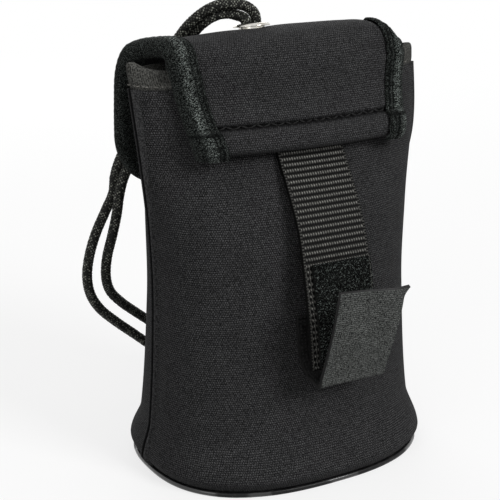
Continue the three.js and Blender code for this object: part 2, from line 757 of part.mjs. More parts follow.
// Hook tab: sewn to the back behind the strap's end, folded up over it and peeled part open
const HALF_TAPE = TAPE / 2;
const panelAt = (z) => -faceDepth("back", STRAP_X, z) - GAP * 2 - HALF_TAPE;
const TAB_SEWN_TO = TAB_ANCHOR_TOP - TAB_SEWN_LENGTH;
const TAB_PROFILE = new THREE.SplineCurve([
  new THREE.Vector2(panelAt(TAB_ANCHOR_TOP), TAB_ANCHOR_TOP),
  new THREE.Vector2(panelAt(TAB_SEWN_TO), TAB_SEWN_TO),
  new THREE.Vector2(panelAt(TAB_ANCHOR_BOTTOM) - CURVED_GAP, TAB_ANCHOR_BOTTOM),
  new THREE.Vector2(TAB_PIVOT_Y + TAB_RUN_OUT, TAB_PIVOT_Z + TAB_RUN_RISE),
  new THREE.Vector2(TAB_PIVOT_Y + HALF_TAPE + GAP, TAB_PIVOT_Z),
]);
const tabBase = band(TAB_PROFILE, 0, 1, -HALF_TAPE, HALF_TAPE, TAB_WIDTH, STRAP_X, 14);
addPiece(pouch, "tab_anchor", tabBase, HOOK_GREY);

// The folded part and the leaf stand on the fold line, in a frame whose Z runs along the leaf.
const lean = THREE.MathUtils.degToRad(TAB_LEAN);
hookTab.position.set(STRAP_X, TAB_PIVOT_Y, TAB_PIVOT_Z);
hookTab.rotation.x = lean;

function tabFold() {
  const outline = new THREE.Shape();
  outline.absarc(0, 0, HALF_TAPE, Math.PI, 2 * Math.PI, false);
  outline.lineTo(HALF_TAPE, TAB_FOLD_REACH);
  outline.lineTo(-HALF_TAPE, TAB_FOLD_REACH);
  outline.closePath();
  return acrossX(outline, TAB_WIDTH, 0, { curveSegments: 6 });
}

const LEAF_CURVE = new THREE.SplineCurve([
  new THREE.Vector2(0, TAB_FOLD_REACH + GAP),
  new THREE.Vector2(-TAB_BOW, TAB_LENGTH / 2),
  new THREE.Vector2(0, TAB_LENGTH),
]);
const tabLeaf = band(LEAF_CURVE, 0, 1, -HALF_TAPE, HALF_TAPE, TAB_WIDTH, 0, 8);
addPiece(hookTab, "tab_fold", tabFold(), HOOK_GREY);
addPiece(hookTab, "tab_leaf", tabLeaf, HOOK_GREY);

// Neck cord. Both strands leave the eyelet, arch to the left and lie down the flap's front.
const CORD_RADIUS = CORD / 2;
const LOWER_COIL_Z = TIE + GAP + CORD_RADIUS + COIL_SLACK;
const UPPER_COIL_Z = LOWER_COIL_Z + COIL_PITCH;
// The coil: it spirals in on the floor, climbs a layer in half a turn and spirals out again.
const TOTAL_TURNS = LOWER_TURNS + CLIMB_TURNS + UPPER_TURNS;
const COIL_START = -Math.PI / 2;

function coilPoint(turns) {
  const climb = THREE.MathUtils.clamp((turns - LOWER_TURNS) / CLIMB_TURNS, 0, 1);
  const midClimb = LOWER_TURNS + CLIMB_TURNS / 2;
  const inwards = Math.min(turns, 2 * midClimb - turns);
  const radius = COIL_RADIUS - COIL_PITCH * inwards;
  const angle = COIL_START + turns * 2 * Math.PI;
  const rise = climb * climb * (3 - 2 * climb);
  const z = THREE.MathUtils.lerp(LOWER_COIL_Z, UPPER_COIL_Z, rise);
  return new THREE.Vector3(COIL_X + radius * Math.cos(angle), COIL_Y + radius * Math.sin(angle), z);
}

function coilPoints() {
  const points = [];
  const steps = Math.round(TOTAL_TURNS * COIL_STEPS);
  for (let i = 0; i <= steps; i++) points.push(coilPoint((i / steps) * TOTAL_TURNS));
  const leadIn = points[0].clone().add(new THREE.Vector3(-CORD, 0, 0));
  const leadOut = points[steps].clone().add(new THREE.Vector3(0, -CORD, 0));
  return [leadIn, ...points, leadOut];
}

function leastGap(points, diameter) {
  let least = Infinity;
  for (let i = 0; i < points.length; i++) {
    for (let j = i + COIL_STEPS / 2; j < points.length; j++) {
      least = Math.min(least, points[i].distanceTo(points[j]));
    }
  }
  return least - diameter;
}

function roundTube(points, radius, sides) {
  const positions = [];
  const faces = [];
  const up = new THREE.Vector3(0, 0, 1);
  points.forEach((point, i) => {
    const before = points[Math.max(i - 1, 0)];
    const after = points[Math.min(i + 1, points.length - 1)];
    const tangent = after.clone().sub(before).normalize();
    const across = new THREE.Vector3().crossVectors(tangent, up).normalize();
    const over = new THREE.Vector3().crossVectors(across, tangent);
    for (let k = 0; k < sides; k++) {
      const angle = ((k + 0.5) / sides) * 2 * Math.PI;
      const spoke = across.clone().multiplyScalar(Math.cos(angle) * radius);
      positions.push(point.clone().add(spoke).addScaledVector(over, Math.sin(angle) * radius));
    }
  });
  for (let i = 0; i + 1 < points.length; i++) {
    for (let k = 0; k < sides; k++) {
      const next = (k + 1) % sides;
      quad(faces, i * sides + k, i * sides + next, (i + 1) * sides + next, (i + 1) * sides + k);
    }
  }
  const end = (points.length - 1) * sides;
  for (let k = 1; k + 1 < sides; k++) {
    faces.push([0, k + 1, k]);
    faces.push([end, end + k, end + k + 1]);
  }
  return bodyFrom(positions, faces);
}

const STRAND_OFFSET = CORD_RADIUS + GAP / 2;
const STRAND_START = WASHER_BOTTOM - 1;
const STRAND_CLEAR = FACE_TOP + EYELET_METAL + GAP;

function throughEyelet(side, height) {
  const point = seatPoint.clone().addScaledVector(seatAxis, height);
  return [point.x + side * STRAND_OFFSET, point.y, point.z];
}

const coil = coilPoints();
const [coilIn, coilOut] = [coil[0], coil[coil.length - 1]];
const OUTER_ROUTE = [
  throughEyelet(1, STRAND_START), throughEyelet(1, FACE_TOP), throughEyelet(1, STRAND_CLEAR),
  [-4.6, 7.6, 153.9], [-7.4, 8, 156.4], [-12, 8.2, 157.5], [-16.4, 8.6, 157.6], [-20.6, 9.8, 156.2],
  [-23.9, 11.8, 153.6], [-26.2, 14.8, 150.2], [-27.9, 18.4, 145.8], [-29.6, 21.8, 140.4],
  [-31.6, 24.2, 134.2], [-34, 26.2, 127.4], [-36.9, 28.3, 119.6], [-40.4, 30.4, 111.2],
  [-44, 32.6, 103.6], [-45.6, 34.2, 97], [-46.2, 34.7, 91], [-49.4, 34.9, 84.6], [-53.2, 35.1, 77],
  [-55.6, 35.9, 69], [-56.2, 37.4, 61], [-54.2, 40, 53], [-49.4, 43, 45.4], [-42, 45.8, 38],
  [-33.4, 47.8, 30.4], [-24.4, 48.9, 22.4], [-15.4, 49.2, 14.6], [-6.2, 49.1, 8], [4, 49, 4],
  [coilIn.x - 2 * CORD, coilIn.y, coilIn.z], [coilIn.x - GAP, coilIn.y, coilIn.z],
];
const INNER_ROUTE = [
  throughEyelet(-1, STRAND_START), throughEyelet(-1, FACE_TOP), throughEyelet(-1, STRAND_CLEAR),
  [-8.4, 7.8, 152.6], [-10.2, 9.5, 153.5], [-13, 10.4, 154.2], [-16.4, 11, 154],
  [-19.4, 12, 152.7], [-21.5, 13.9, 150.6], [-22.9, 16.3, 147.9], [-24, 19.2, 144.3], [-25.3, 21.7, 139.7],
  [-27.4, 23.6, 133.8], [-29.9, 25, 127.1], [-33, 26.6, 119], [-36.8, 28.4, 110.4],
  [-41.2, 29.6, 103], [-44.2, 30.1, 97], [-45.8, 30.5, 91], [-46.8, 31, 84], [-48.4, 32, 76],
  [-49.8, 33.8, 68], [-49.4, 36.4, 60], [-46.6, 39.8, 53], [-41, 43.6, 46.6], [-33.6, 47, 40],
  [-25.2, 49.8, 33], [-16.6, 52, 26], [-9, 54, 19.4], [-2.6, 56.6, 13.6], [1.4, 60.4, 9.4],
  [coilOut.x, coilOut.y - CORD - GAP, coilOut.z], [coilOut.x, coilOut.y - GAP, coilOut.z],
];

// A stretch of a strand's route, between two lengths measured from the route's start.
class Stretch extends THREE.Curve {
  constructor(route, from, to) {
    super();
    const points = route.map(([x, y, z]) => new THREE.Vector3(x, y, z));
    this.whole = new THREE.CatmullRomCurve3(points, false, "centripetal");
    this.whole.arcLengthDivisions = 600;
    this.total = this.whole.getLength();
    this.from = from;
    this.to = Math.min(to, this.total);
  }

  getPoint(t, target) {
    const along = THREE.MathUtils.lerp(this.from, this.to, t) / this.total;
    return this.whole.getPointAt(THREE.MathUtils.clamp(along, 0, 1), target);
  }
}

function strand(route, from, to) {
  const stretch = new Stretch(route, from, to);
  const section = new THREE.Shape();
  for (let k = 0; k < CORD_SIDES; k++) {
    const angle = ((k + 0.5) / CORD_SIDES) * 2 * Math.PI;
    const [x, y] = [CORD_RADIUS * Math.cos(angle), CORD_RADIUS * Math.sin(angle)];
    if (k === 0) section.moveTo(x, y);
    else section.lineTo(x, y);
  }
  section.closePath();
  const steps = Math.round((stretch.to - stretch.from) / CORD_STEP);
  return new THREE.ExtrudeGeometry(section, { steps, extrudePath: stretch, bevelEnabled: false });
}

// The length from the eyelet at which a strand has come down to a height on the front.
function lengthTo(route, z) {
  const stretch = new Stretch(route, 0, Infinity);
  let along = stretch.total / 4;
  while (stretch.whole.getPointAt(along / stretch.total).z > z) along += GAP;
  return along;
}

const STRANDS = [["outer", OUTER_ROUTE], ["inner", INNER_ROUTE]];
for (const [name, route] of STRANDS) {
  const leaves = lengthTo(route, LID_END_Z - CORD / 2);
  addPiece(lid, `cord_arch_${name}`, strand(route, 0, leaves), CORD_BLACK);
  addPiece(pouch, `cord_fall_${name}`, strand(route, leaves + GAP, Infinity), CORD_BLACK);
}
console.log(`least gap of the coil to itself: ${leastGap(coil, CORD).toFixed(2)} mm`);
addPiece(pouch, "cord_coil", roundTube(coil, CORD_RADIUS, COIL_SIDES), CORD_BLACK);

// A woven tie round the coil's turns
function coilTie() {
  const inner = coilPoint(LOWER_TURNS + CLIMB_TURNS / 2);
  const innerRadius = Math.hypot(inner.x - COIL_X, inner.y - COIL_Y) - CORD_RADIUS - GAP;
  const outerRadius = COIL_RADIUS + CORD_RADIUS + GAP;
  const low = LOWER_COIL_Z - CORD_RADIUS - GAP;
  const high = UPPER_COIL_Z + CORD_RADIUS + GAP;
  const outline = new THREE.Shape([
    new THREE.Vector2(innerRadius - TIE, low - TIE), new THREE.Vector2(outerRadius + TIE, low - TIE),
    new THREE.Vector2(outerRadius + TIE, high + TIE), new THREE.Vector2(innerRadius - TIE, high + TIE),
  ]);
  outline.holes.push(new THREE.Path([
    new THREE.Vector2(innerRadius, low), new THREE.Vector2(innerRadius, high),
    new THREE.Vector2(outerRadius, high), new THREE.Vector2(outerRadius, low),
  ]));
  const geometry = new THREE.ExtrudeGeometry(outline, { depth: TIE_LENGTH, bevelEnabled: false });
  geometry.translate(0, 0, -TIE_LENGTH / 2);
  const upright = new THREE.Matrix4().makeBasis(
    new THREE.Vector3(1, 0, 0), new THREE.Vector3(0, 0, 1), new THREE.Vector3(0, -1, 0));
  geometry.applyMatrix4(upright);
  geometry.rotateZ(THREE.MathUtils.degToRad(TIE_TURN));
  geometry.translate(COIL_X, COIL_Y, 0);
  return geometry;
}

addPiece(pouch, "cord_tie", coilTie(), BINDING_BLACK);

// The knot inside the lid, a squat ball with the wraps of the two ends
function knot() {
  const ball = new THREE.SphereGeometry(KNOT_RADIUS, 16, 10);
  ball.rotateX(Math.PI / 2);
  ball.scale(1, 1, KNOT_HEIGHT / (2 * KNOT_RADIUS));
  ball.deleteAttribute("normal");
  ball.deleteAttribute("uv");
  return mergeVertices(ball, 1e-4);
}

const cordKnot = addPiece(eyeletSeat, "cord_knot", knot(), CORD_BLACK);
cordKnot.position.z = STRAND_START - GAP - KNOT_HEIGHT / 2;

const cameraCase = new THREE.Group();
cameraCase.add(pouch, lid, beltStrap, hookTab);
export default cameraCase;
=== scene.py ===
import math

import bpy
import numpy as np
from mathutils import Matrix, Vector


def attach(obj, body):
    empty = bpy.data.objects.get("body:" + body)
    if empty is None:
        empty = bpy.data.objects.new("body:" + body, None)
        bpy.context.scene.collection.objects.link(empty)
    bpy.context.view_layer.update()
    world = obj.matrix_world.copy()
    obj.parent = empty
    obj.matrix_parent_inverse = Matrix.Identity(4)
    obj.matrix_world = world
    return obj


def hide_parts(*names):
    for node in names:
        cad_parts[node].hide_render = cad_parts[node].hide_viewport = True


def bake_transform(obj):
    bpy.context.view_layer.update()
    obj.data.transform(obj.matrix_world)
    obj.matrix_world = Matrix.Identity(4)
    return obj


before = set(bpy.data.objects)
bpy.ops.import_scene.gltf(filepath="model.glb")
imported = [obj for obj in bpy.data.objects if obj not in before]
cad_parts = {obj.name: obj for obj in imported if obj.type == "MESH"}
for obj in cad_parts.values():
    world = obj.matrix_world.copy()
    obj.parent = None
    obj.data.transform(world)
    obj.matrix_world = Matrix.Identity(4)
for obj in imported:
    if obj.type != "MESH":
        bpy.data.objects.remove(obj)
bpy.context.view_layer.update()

# Lengths are written in millimetres and multiplied by MM, because the frame is in metres.
MM = 0.001


# Camera. A short telephoto looks a little down at the back of the pouch, from its left side.
CAMERA_PLACE = Vector((-221.6, -371.5, 211.9)) * MM
CAMERA_AIM = Vector((-10.6, 0, 73.9)) * MM
CAMERA_LENS = 93.3
SENSOR_WIDTH = 36
NEAREST_SEEN = 10

camera_data = bpy.data.cameras.new("camera")
camera_data.sensor_width = SENSOR_WIDTH
camera_data.lens = CAMERA_LENS
camera_data.clip_start = NEAREST_SEEN * MM
camera = bpy.data.objects.new("camera", camera_data)
camera.location = CAMERA_PLACE
camera.rotation_euler = (CAMERA_AIM - CAMERA_PLACE).to_track_quat("-Z", "Y").to_euler()
bpy.context.scene.collection.objects.link(camera)
bpy.context.scene.camera = camera
bpy.context.scene.view_settings.view_transform = "Standard"


# Studio. A plain pale floor that keeps a soft shadow, a white surround and three large soft
# lamps: the key stands to the right of the camera, so that shadows fall to the left. The floor's
# sizes and the lamps' are in metres, and the lamps' power is in watts.
AMBIENT = 0.32
FLOOR_SIZE = 6
FLOOR_TONE = 0.35
FLOOR_LIGHT = 0.8
FLOOR_NEAR, FLOOR_FAR = 0.3, 0.9


class Signal:
    """An output of a shader node, used in plain arithmetic."""

    def __init__(self, graph, socket):
        self.graph = graph
        self.socket = socket

    def maths(self, operation, first, second=0.0):
        return self.graph.add("ShaderNodeMath", {"operation": operation}, {0: first, 1: second})

    def __add__(self, other):
        return self.maths("ADD", self, other)

    def __sub__(self, other):
        return self.maths("SUBTRACT", self, other)

    def __rsub__(self, other):
        return self.maths("SUBTRACT", other, self)

    def __mul__(self, other):
        return self.maths("MULTIPLY", self, other)

    def __truediv__(self, other):
        return self.maths("DIVIDE", self, other)

    def __pow__(self, other):
        return self.maths("POWER", self, other)

    def __gt__(self, other):
        return self.maths("GREATER_THAN", self, other)

    def __lt__(self, other):
        return self.maths("LESS_THAN", self, other)

    def sine(self):
        return self.maths("SINE", self)

    def share(self):
        return self.maths("FRACT", self)

    def size(self):
        return self.maths("ABSOLUTE", self)

    def floor(self):
        return self.maths("FLOOR", self)

    def between(self, low, high):
        settings = {"interpolation_type": "SMOOTHSTEP"}
        return self.graph.add("ShaderNodeMapRange", settings, {0: self, 1: low, 2: high})


class Graph:
    """A node tree that is filled by one method."""

    def __init__(self, tree):
        self.tree = tree

    def add(self, kind, settings=None, sockets=None, output=0):
        node = self.tree.nodes.new(kind)
        for key, value in (settings or {}).items():
            setattr(node, key, value)
        for key, value in (sockets or {}).items():
            self.feed(node.inputs[key], value)
        return Signal(self, node.outputs[output])

    def feed(self, socket, value):
        if isinstance(value, Signal):
            self.tree.links.new(value.socket, socket)
        else:
            socket.default_value = value

    def mix(self, factor, first, second):
        return self.add("ShaderNodeMix", {"data_type": "RGBA"}, {0: factor, 6: first, 7: second}, 2)

    def seen(self):
        """1 for rays from the camera, a mirror or glass, so that metal shows the backdrop."""
        rays = self.add("ShaderNodeLightPath")
        outputs = rays.socket.node.outputs
        names = ("Is Camera Ray", "Is Glossy Ray", "Is Transmission Ray")
        camera_ray, glossy_ray, passing_ray = (Signal(self, outputs[name]) for name in names)
        return camera_ray + glossy_ray + passing_ray


world = bpy.data.worlds.new("surround")
world.use_nodes = True
bpy.context.scene.world = world
surround = Graph(world.node_tree)
background = world.node_tree.nodes["Background"]
background.inputs["Color"].default_value = (1, 1, 1, 1)
surround.feed(background.inputs["Strength"], surround.seen().between(0, 1) * (1 - AMBIENT) + AMBIENT)

bpy.ops.object.select_all(action="DESELECT")
bpy.ops.mesh.primitive_plane_add(size=FLOOR_SIZE)
floor = bpy.context.object
floor.name = "floor"
floor_finish = bpy.data.materials.new("floor_pale")
floor_finish.use_nodes = True
floor_graph = Graph(floor_finish.node_tree)
floor_shader = floor_finish.node_tree.nodes["Principled BSDF"]
floor_shader.inputs["Roughness"].default_value = 1.0
floor_shader.inputs["Specular IOR Level"].default_value = 0.0
floor_shader.inputs["Emission Strength"].default_value = 1.0
floor_place = floor_graph.add("ShaderNodeTexCoord", None, None, 3)
floor_reach = floor_graph.add("ShaderNodeVectorMath", {"operation": "LENGTH"}, {0: floor_place}, 1)
near = 1 - floor_reach.between(FLOOR_NEAR, FLOOR_FAR)
floor_graph.feed(floor_shader.inputs["Base Color"], near * FLOOR_TONE)
floor_glow = floor_graph.seen() * (1 - near * (FLOOR_TONE * FLOOR_LIGHT))
floor_graph.feed(floor_shader.inputs["Emission Color"], floor_glow)
floor.data.materials.append(floor_finish)


def soft_lamp(name, place, width, power):
    lamp_data = bpy.data.lights.new(name, "AREA")
    lamp_data.size = width
    lamp_data.energy = power
    lamp = bpy.data.objects.new(name, lamp_data)
    lamp.location = place
    lamp.rotation_euler = (CAMERA_AIM - lamp.location).to_track_quat("-Z", "Y").to_euler()
    bpy.context.scene.collection.objects.link(lamp)


soft_lamp("key_lamp", place=Vector((0.5, -1.05, 0.8)), width=0.5, power=8.0)
soft_lamp("fill_lamp", place=Vector((-0.95, -0.6, 0.6)), width=0.7, power=2.6)
soft_lamp("rim_lamp", place=Vector((0.3, 1.0, 0.6)), width=0.8, power=4.0)


# Pouch. Two shaped panels of neoprene with a jersey face on both sides meet at the side seams.
# Their shape is a rounded outline that changes with height: flared at the base, lens-shaped at
# the mouth.
NEOPRENE = 3.5
PANEL_BOTTOM = 2.1
PANEL_TOP = 134.3
MOUTH_Z = 140
SECTION_HEIGHTS = (PANEL_BOTTOM, 6, 18, 60, 88, 112, MOUTH_Z)
SECTIONS = {
    "wide": (50.4, 52.4, 49.3, 47.5, 48.8, 52.9, 54.5),
    "back": (39.6, 41.7, 34.3, 28.5, 25.5, 15.5, 10.8),
    "front": (39.6, 41.7, 34.5, 29.3, 27, 19.5, 14.8),
    "square": (2.5, 2.5, 2.5, 2.5, 2.4, 2.0, 1.7),
    "lean": (0, 0, 0, 0.5, 1, 2.4, 0),
}
PANEL_ACROSS, PANEL_ALONG = 110, 130
WAVE, WAVE_LENGTH = 0.35, 34
WAVES_FROM = 30
SEAM_REST = 4.0
SEAM_SINK, SEAM_SINK_WIDTH = 0.8, 0.9
MOUTH_SINK, MOUTH_SINK_WIDTH = 0.5, 1.4
MOUTH_SWELL, MOUTH_SWELL_WIDTH, MOUTH_SWELL_BELOW = 0.25, 2.5, 3.5


def through(stations, place):
    """Smooth values at places, through stations of place and value."""
    places, values = (np.array(column, float) for column in zip(*stations))
    before = np.r_[0, np.arange(len(places) - 1)]
    after = np.r_[np.arange(1, len(places)), len(places) - 1]
    slopes = (values[after] - values[before]) / (places[after] - places[before])
    k = np.clip(np.searchsorted(places, place) - 1, 0, len(places) - 2)
    span = places[k + 1] - places[k]
    t = np.clip((place - places[k]) / span, 0, 1)
    rise = 3 * t ** 2 - 2 * t ** 3
    start = slopes[k] * span * (t - 2 * t ** 2 + t ** 3)
    end = slopes[k + 1] * span * (t ** 3 - t ** 2)
    return values[k] * (1 - rise) + values[k + 1] * rise + start + end


def size_at(key, z):
    return through(tuple(zip(SECTION_HEIGHTS, SECTIONS[key])), z)


def squared_off(wave, power):
    """A sine or cosine pushed out, which turns a round section into a box with round corners."""
    return np.sign(wave) * np.abs(wave) ** power


def on_body(angle, z, grow=0.0):
    """Points on the pouch's outline at a height, moved outwards by grow. Angle 0 is +X."""
    power = 2 / size_at("square", z)
    cos, sin = np.cos(angle), np.sin(angle)
    depth = np.where(sin < 0, size_at("back", z), size_at("front", z))
    x = size_at("lean", z) + (size_at("wide", z) + grow) * squared_off(cos, power)
    y = (depth + grow) * squared_off(sin, power)
    return x, y, z


def face_depth(side, x, z, grow=0.0):
    """How far the pouch's back or front stands from the middle plane at x and z."""
    square = size_at("square", z)
    reach = np.minimum(np.abs(x - size_at("lean", z)) / (size_at("wide", z) + grow), 1)
    return (size_at(side, z) + grow) * (1 - reach ** square) ** (1 / square)


def hill(distance, width):
    """1 at no distance, falling away smoothly within about the width."""
    return np.exp(-((distance / width) ** 2))


def soft_waves(x, y, z, length):
    """Slow dents and swells of soft cloth, from -1 to 1, as crossed waves of unequal length."""
    a = np.sin(x / length * 2.1 + 1.3 + 0.7 * np.sin(z / length * 1.1))
    b = np.sin(z / length * 1.7 + 0.4 + 0.8 * np.sin(x / length * 0.9 + y / length))
    c = np.sin((x + z) / length * 2.9 + y / length * 1.9 + 2.2)
    return 0.45 * a + 0.35 * b + 0.2 * c


def panel_height(v):
    """Heights up a panel, closer together where its base flares."""
    return PANEL_BOTTOM + (PANEL_TOP - PANEL_BOTTOM) * v * (1 + v) / 2


def panel_surface(start, stop):
    """Half the pouch: slow waves, drawn in along the side seams and at the mouth's seam."""
    def place(u, v):
        z = panel_height(v)
        angle = start + (stop - start) * u
        x, y, _ = on_body(angle, z)
        waves = WAVE * soft_waves(x, y, z, WAVE_LENGTH)
        grow = waves * np.clip(z / WAVES_FROM, 0, 1) * (1 - hill(y, SEAM_REST))
        grow = grow - SEAM_SINK * hill(y, SEAM_SINK_WIDTH)
        grow = grow - MOUTH_SINK * hill(z - PANEL_TOP, MOUTH_SINK_WIDTH)
        grow = grow + MOUTH_SWELL * hill(z - PANEL_TOP + MOUTH_SWELL_BELOW, MOUTH_SWELL_WIDTH)
        return on_body(angle, z, grow)

    return place


def lay_sheet(name, across, along, place, raised=None):
    """A grid of across by along cells, laid where place puts its two shares, u across and v along.

    Its faces look to the side where u, v and outwards are right-handed. Its UV map is in metres
    along the cloth, so that a weave keeps its scale. Raised is the same place with the weave's
    own relief, which the UV map leaves out.
    """
    bpy.ops.object.select_all(action="DESELECT")
    bpy.ops.mesh.primitive_grid_add(
        x_subdivisions=across, y_subdivisions=along, size=1, calc_uvs=True)
    piece = bpy.context.object
    piece.name = piece.data.name = name
    mesh = piece.data
    flat = np.zeros(len(mesh.vertices) * 3)
    mesh.vertices.foreach_get("co", flat)
    flat = flat.reshape(-1, 3)
    u = flat[:, 0] + 0.5
    v = flat[:, 1] + 0.5
    placed = np.stack(place(u, v), axis=1) * MM
    mesh.vertices.foreach_set("co", placed.ravel())
    column = np.rint(u * across).astype(int)
    row = np.rint(v * along).astype(int)
    net = np.zeros((along + 1, across + 1, 3))
    net[row, column] = placed
    steps_u = np.linalg.norm(np.diff(net, axis=1), axis=2)
    steps_v = np.linalg.norm(np.diff(net, axis=0), axis=2)
    run_u = np.hstack([np.zeros((along + 1, 1)), np.cumsum(steps_u, axis=1)])
    run_u -= run_u[:, [across // 2]]
    run_v = np.concatenate([[0], np.cumsum(steps_v.mean(axis=1))])
    corner = np.zeros(len(mesh.loops), int)
    mesh.loops.foreach_get("vertex_index", corner)
    spread = np.stack([run_u[row[corner], column[corner]], run_v[row[corner]]], axis=1)
    mesh.uv_layers.active.data.foreach_set("uv", spread.ravel())
    if raised:
        mesh.vertices.foreach_set("co", (np.stack(raised(u, v), axis=1) * MM).ravel())
    mesh.update()
    return piece


def only(piece):
    """Makes a piece the one that operators act on."""
    bpy.ops.object.select_all(action="DESELECT")
    piece.select_set(True)
    bpy.context.view_layer.objects.active = piece


def apply_modifier(piece, kind, **settings):
    modifier = piece.modifiers.new(kind.title(), kind)
    for key, value in settings.items():
        setattr(modifier, key, value)
    only(piece)
    bpy.ops.object.modifier_apply(modifier=modifier.name)


def thicken(piece, thickness, weights=None):
    """Gives a laid sheet its thickness, from its outer face inwards."""
    settings = {"thickness": thickness * MM, "offset": -1.0, "use_even_offset": False}
    if weights is not None:
        group = piece.vertex_groups.new(name="thickness")
        for index, weight in enumerate(weights):
            group.add([index], float(weight), "REPLACE")
        settings["vertex_group"] = "thickness"
    apply_modifier(piece, "SOLIDIFY", **settings)
    piece.vertex_groups.clear()


def smooth(piece, degrees):
    only(piece)
    bpy.ops.object.shade_smooth_by_angle(angle=math.radians(degrees))


def dress(piece, finish):
    piece.data.materials.clear()
    piece.data.materials.append(finish.material)


class Finish(Graph):
    """A material whose constant values stand on the shader and whose patterns are added as nodes."""

    def __init__(self, name, **constants):
        self.material = bpy.data.materials.new(name)
        self.material.use_nodes = True
        super().__init__(self.material.node_tree)
        self.shader = self.tree.nodes["Principled BSDF"]
        for key, value in constants.items():
            self.shader.inputs[key.replace("_", " ")].default_value = value

    def cloth(self):
        """Places across and along the cloth, in millimetres."""
        coordinates = self.add("ShaderNodeUVMap")
        axes = self.add("ShaderNodeSeparateXYZ", None, {0: coordinates})
        outputs = axes.socket.node.outputs
        return Signal(self, outputs[0]) / MM, Signal(self, outputs[1]) / MM

    def space(self):
        return self.add("ShaderNodeTexCoord", None, None, 3)

    def grain(self, size, detail=2.0):
        """Noise from 0 to 1 whose patches are about size millimetres."""
        sockets = {"Vector": self.space(), "Scale": 1 / (size * MM), "Detail": detail}
        return self.add("ShaderNodeTexNoise", {"noise_dimensions": "3D"}, sockets)

    def wear(self, colour, roughness=None, height=None, depth=0.1, strength=0.6):
        """Links what varies: the colour, the roughness and a relief of that depth in millimetres."""
        self.feed(self.shader.inputs["Base Color"], colour)
        if roughness is not None:
            self.feed(self.shader.inputs["Roughness"], roughness)
        if height is not None:
            sockets = {"Strength": strength, "Distance": depth * MM, "Height": height}
            self.feed(self.shader.inputs["Normal"], self.add("ShaderNodeBump", None, sockets))
        return self


def shade(red, green=None, blue=None):
    """A colour as it reads on a screen, from 0 to 255 a channel, turned to linear light."""
    levels = [red, red if green is None else green, red if blue is None else blue]
    dark = [level / 255 / 12.92 for level in levels]
    light = [((level / 255 + 0.055) / 1.055) ** 2.4 for level in levels]
    linear = [d if level < 10 else l for level, d, l in zip(levels, dark, light)]
    return (*linear, 1.0)


KNIT_ROW = 0.74
KNIT_COLUMN = 0.8
HEM_PITCH = 2.6
JERSEY_DARK, JERSEY_LIGHT = shade(10, 10, 11), shade(104, 104, 105)


def jersey_finish(name, grooves=()):
    """Neoprene's jersey face: rows of small round loops, staggered, each caught by light or not.

    Grooves are places along the cloth, each with its width and the zigzag of its stitches, painted
    darker as shade.
    """
    finish = Finish(name, Specular_IOR_Level=0.06, Sheen_Weight=0.02, Sheen_Roughness=0.5)
    across, along = finish.cloth()
    drift = finish.grain(5.0, 1.0) * 0.9
    row = along / KNIT_ROW + drift
    column = across / KNIT_COLUMN + row.floor() * 0.5 + drift
    relief = (row.share() * math.pi).sine() * (column.share() * math.pi).sine()
    lot = finish.grain(0.42, 1.0).between(0.32, 0.68)
    patch = finish.grain(9.0, 3.0).between(0.3, 0.7)
    level = relief * (lot * 0.66 + 0.2) * (patch * 0.16 + 0.84) + lot * 0.12
    # Painted shade: the colour is darkened along each groove or fold, following its stitches' zigzag.
    for place, width, zigzag in grooves:
        sway = ((across / HEM_PITCH).share() - 0.5).size() * zigzag
        level = level * ((along - place + sway).size().between(width * 0.25, width) * 0.9 + 0.1)
    colour = finish.mix(level, JERSEY_DARK, JERSEY_LIGHT)
    return finish.wear(colour, lot * 0.14 + 0.82, relief * 0.8 + lot * 0.4, depth=0.2)


neoprene = jersey_finish("neoprene_jersey")
for name, node, start in (("back_shell", "back_panel", math.pi), ("front_shell", "front_panel", 0.0)):
    shell = lay_sheet(name, PANEL_ACROSS, PANEL_ALONG, panel_surface(start, start + math.pi))
    thicken(shell, NEOPRENE)
    smooth(shell, 50)
    dress(shell, neoprene)
    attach(shell, "pouch")
    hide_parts(node)


# Side seams. The two panels' edges are glued and blind-stitched so that they stand up as two narrow
# lips of the same neoprene, with a groove between them.
SEAM_WIDTH = 5.0
SEAM_SKIN = 0.6
SEAM_ACROSS, SEAM_ALONG = 28, 200
LIP_HEIGHT = 1.1
LIP_PLACE = 1.2
LIP_WIDTH = 0.55
SKIRT_PROUD = 0.35
SKIRT_DROP = 0.65


def seam_surface(side, lip_height):
    """A strip up one side. Its borders, the skirts, sink into the panels."""
    def place(u, v):
        z = panel_height(v)
        y = side * (u - 0.5) * SEAM_WIDTH
        square = size_at("square", z)
        depth = np.where(y < 0, size_at("back", z), size_at("front", z))
        reach = size_at("wide", z) * (1 - (np.abs(y) / depth) ** square) ** (1 / square)
        lips = lip_height * hill(np.abs(y) - LIP_PLACE, LIP_WIDTH)
        to_border = np.abs(y) / (SEAM_WIDTH / 2)
        skirt = SKIRT_PROUD - SKIRT_DROP * to_border ** 3
        x = size_at("lean", z) + side * (reach + lips + skirt)
        return x, y, z

    return place


def seam_finish():
    """Painted light: the lips are lighter than the skirts beside them, the groove between them darker.
    """
    finish = Finish("seam_jersey", Specular_IOR_Level=0.06)
    across, along = finish.cloth()
    lot = finish.grain(0.5, 1.0).between(0.32, 0.68)
    lit_lip = 1 - (across.size() - LIP_PLACE).size().between(0.1, 0.5)
    skirt = (across.size() - LIP_PLACE).between(0.1, 0.5)
    # Painted light and shade: lighter lips, darker skirts and a dark groove between the lips.
    level = lit_lip * (lot * 0.3 + 0.24) + skirt * (lot * 0.34 + 0.12) + lot * 0.04
    colour = finish.mix(level, JERSEY_DARK, JERSEY_LIGHT)
    return finish.wear(colour, lot * 0.14 + 0.82, lot, depth=0.15)


seam_jersey = seam_finish()
for side, name in ((-1, "left_side_seam"), (1, "right_side_seam")):
    seam = lay_sheet(name + "_lips", SEAM_ACROSS, SEAM_ALONG, seam_surface(side, 0),
                     seam_surface(side, LIP_HEIGHT))
    thicken(seam, SEAM_SKIN)
    smooth(seam, 60)
    dress(seam, seam_jersey)
    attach(seam, "pouch")
    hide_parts(name)


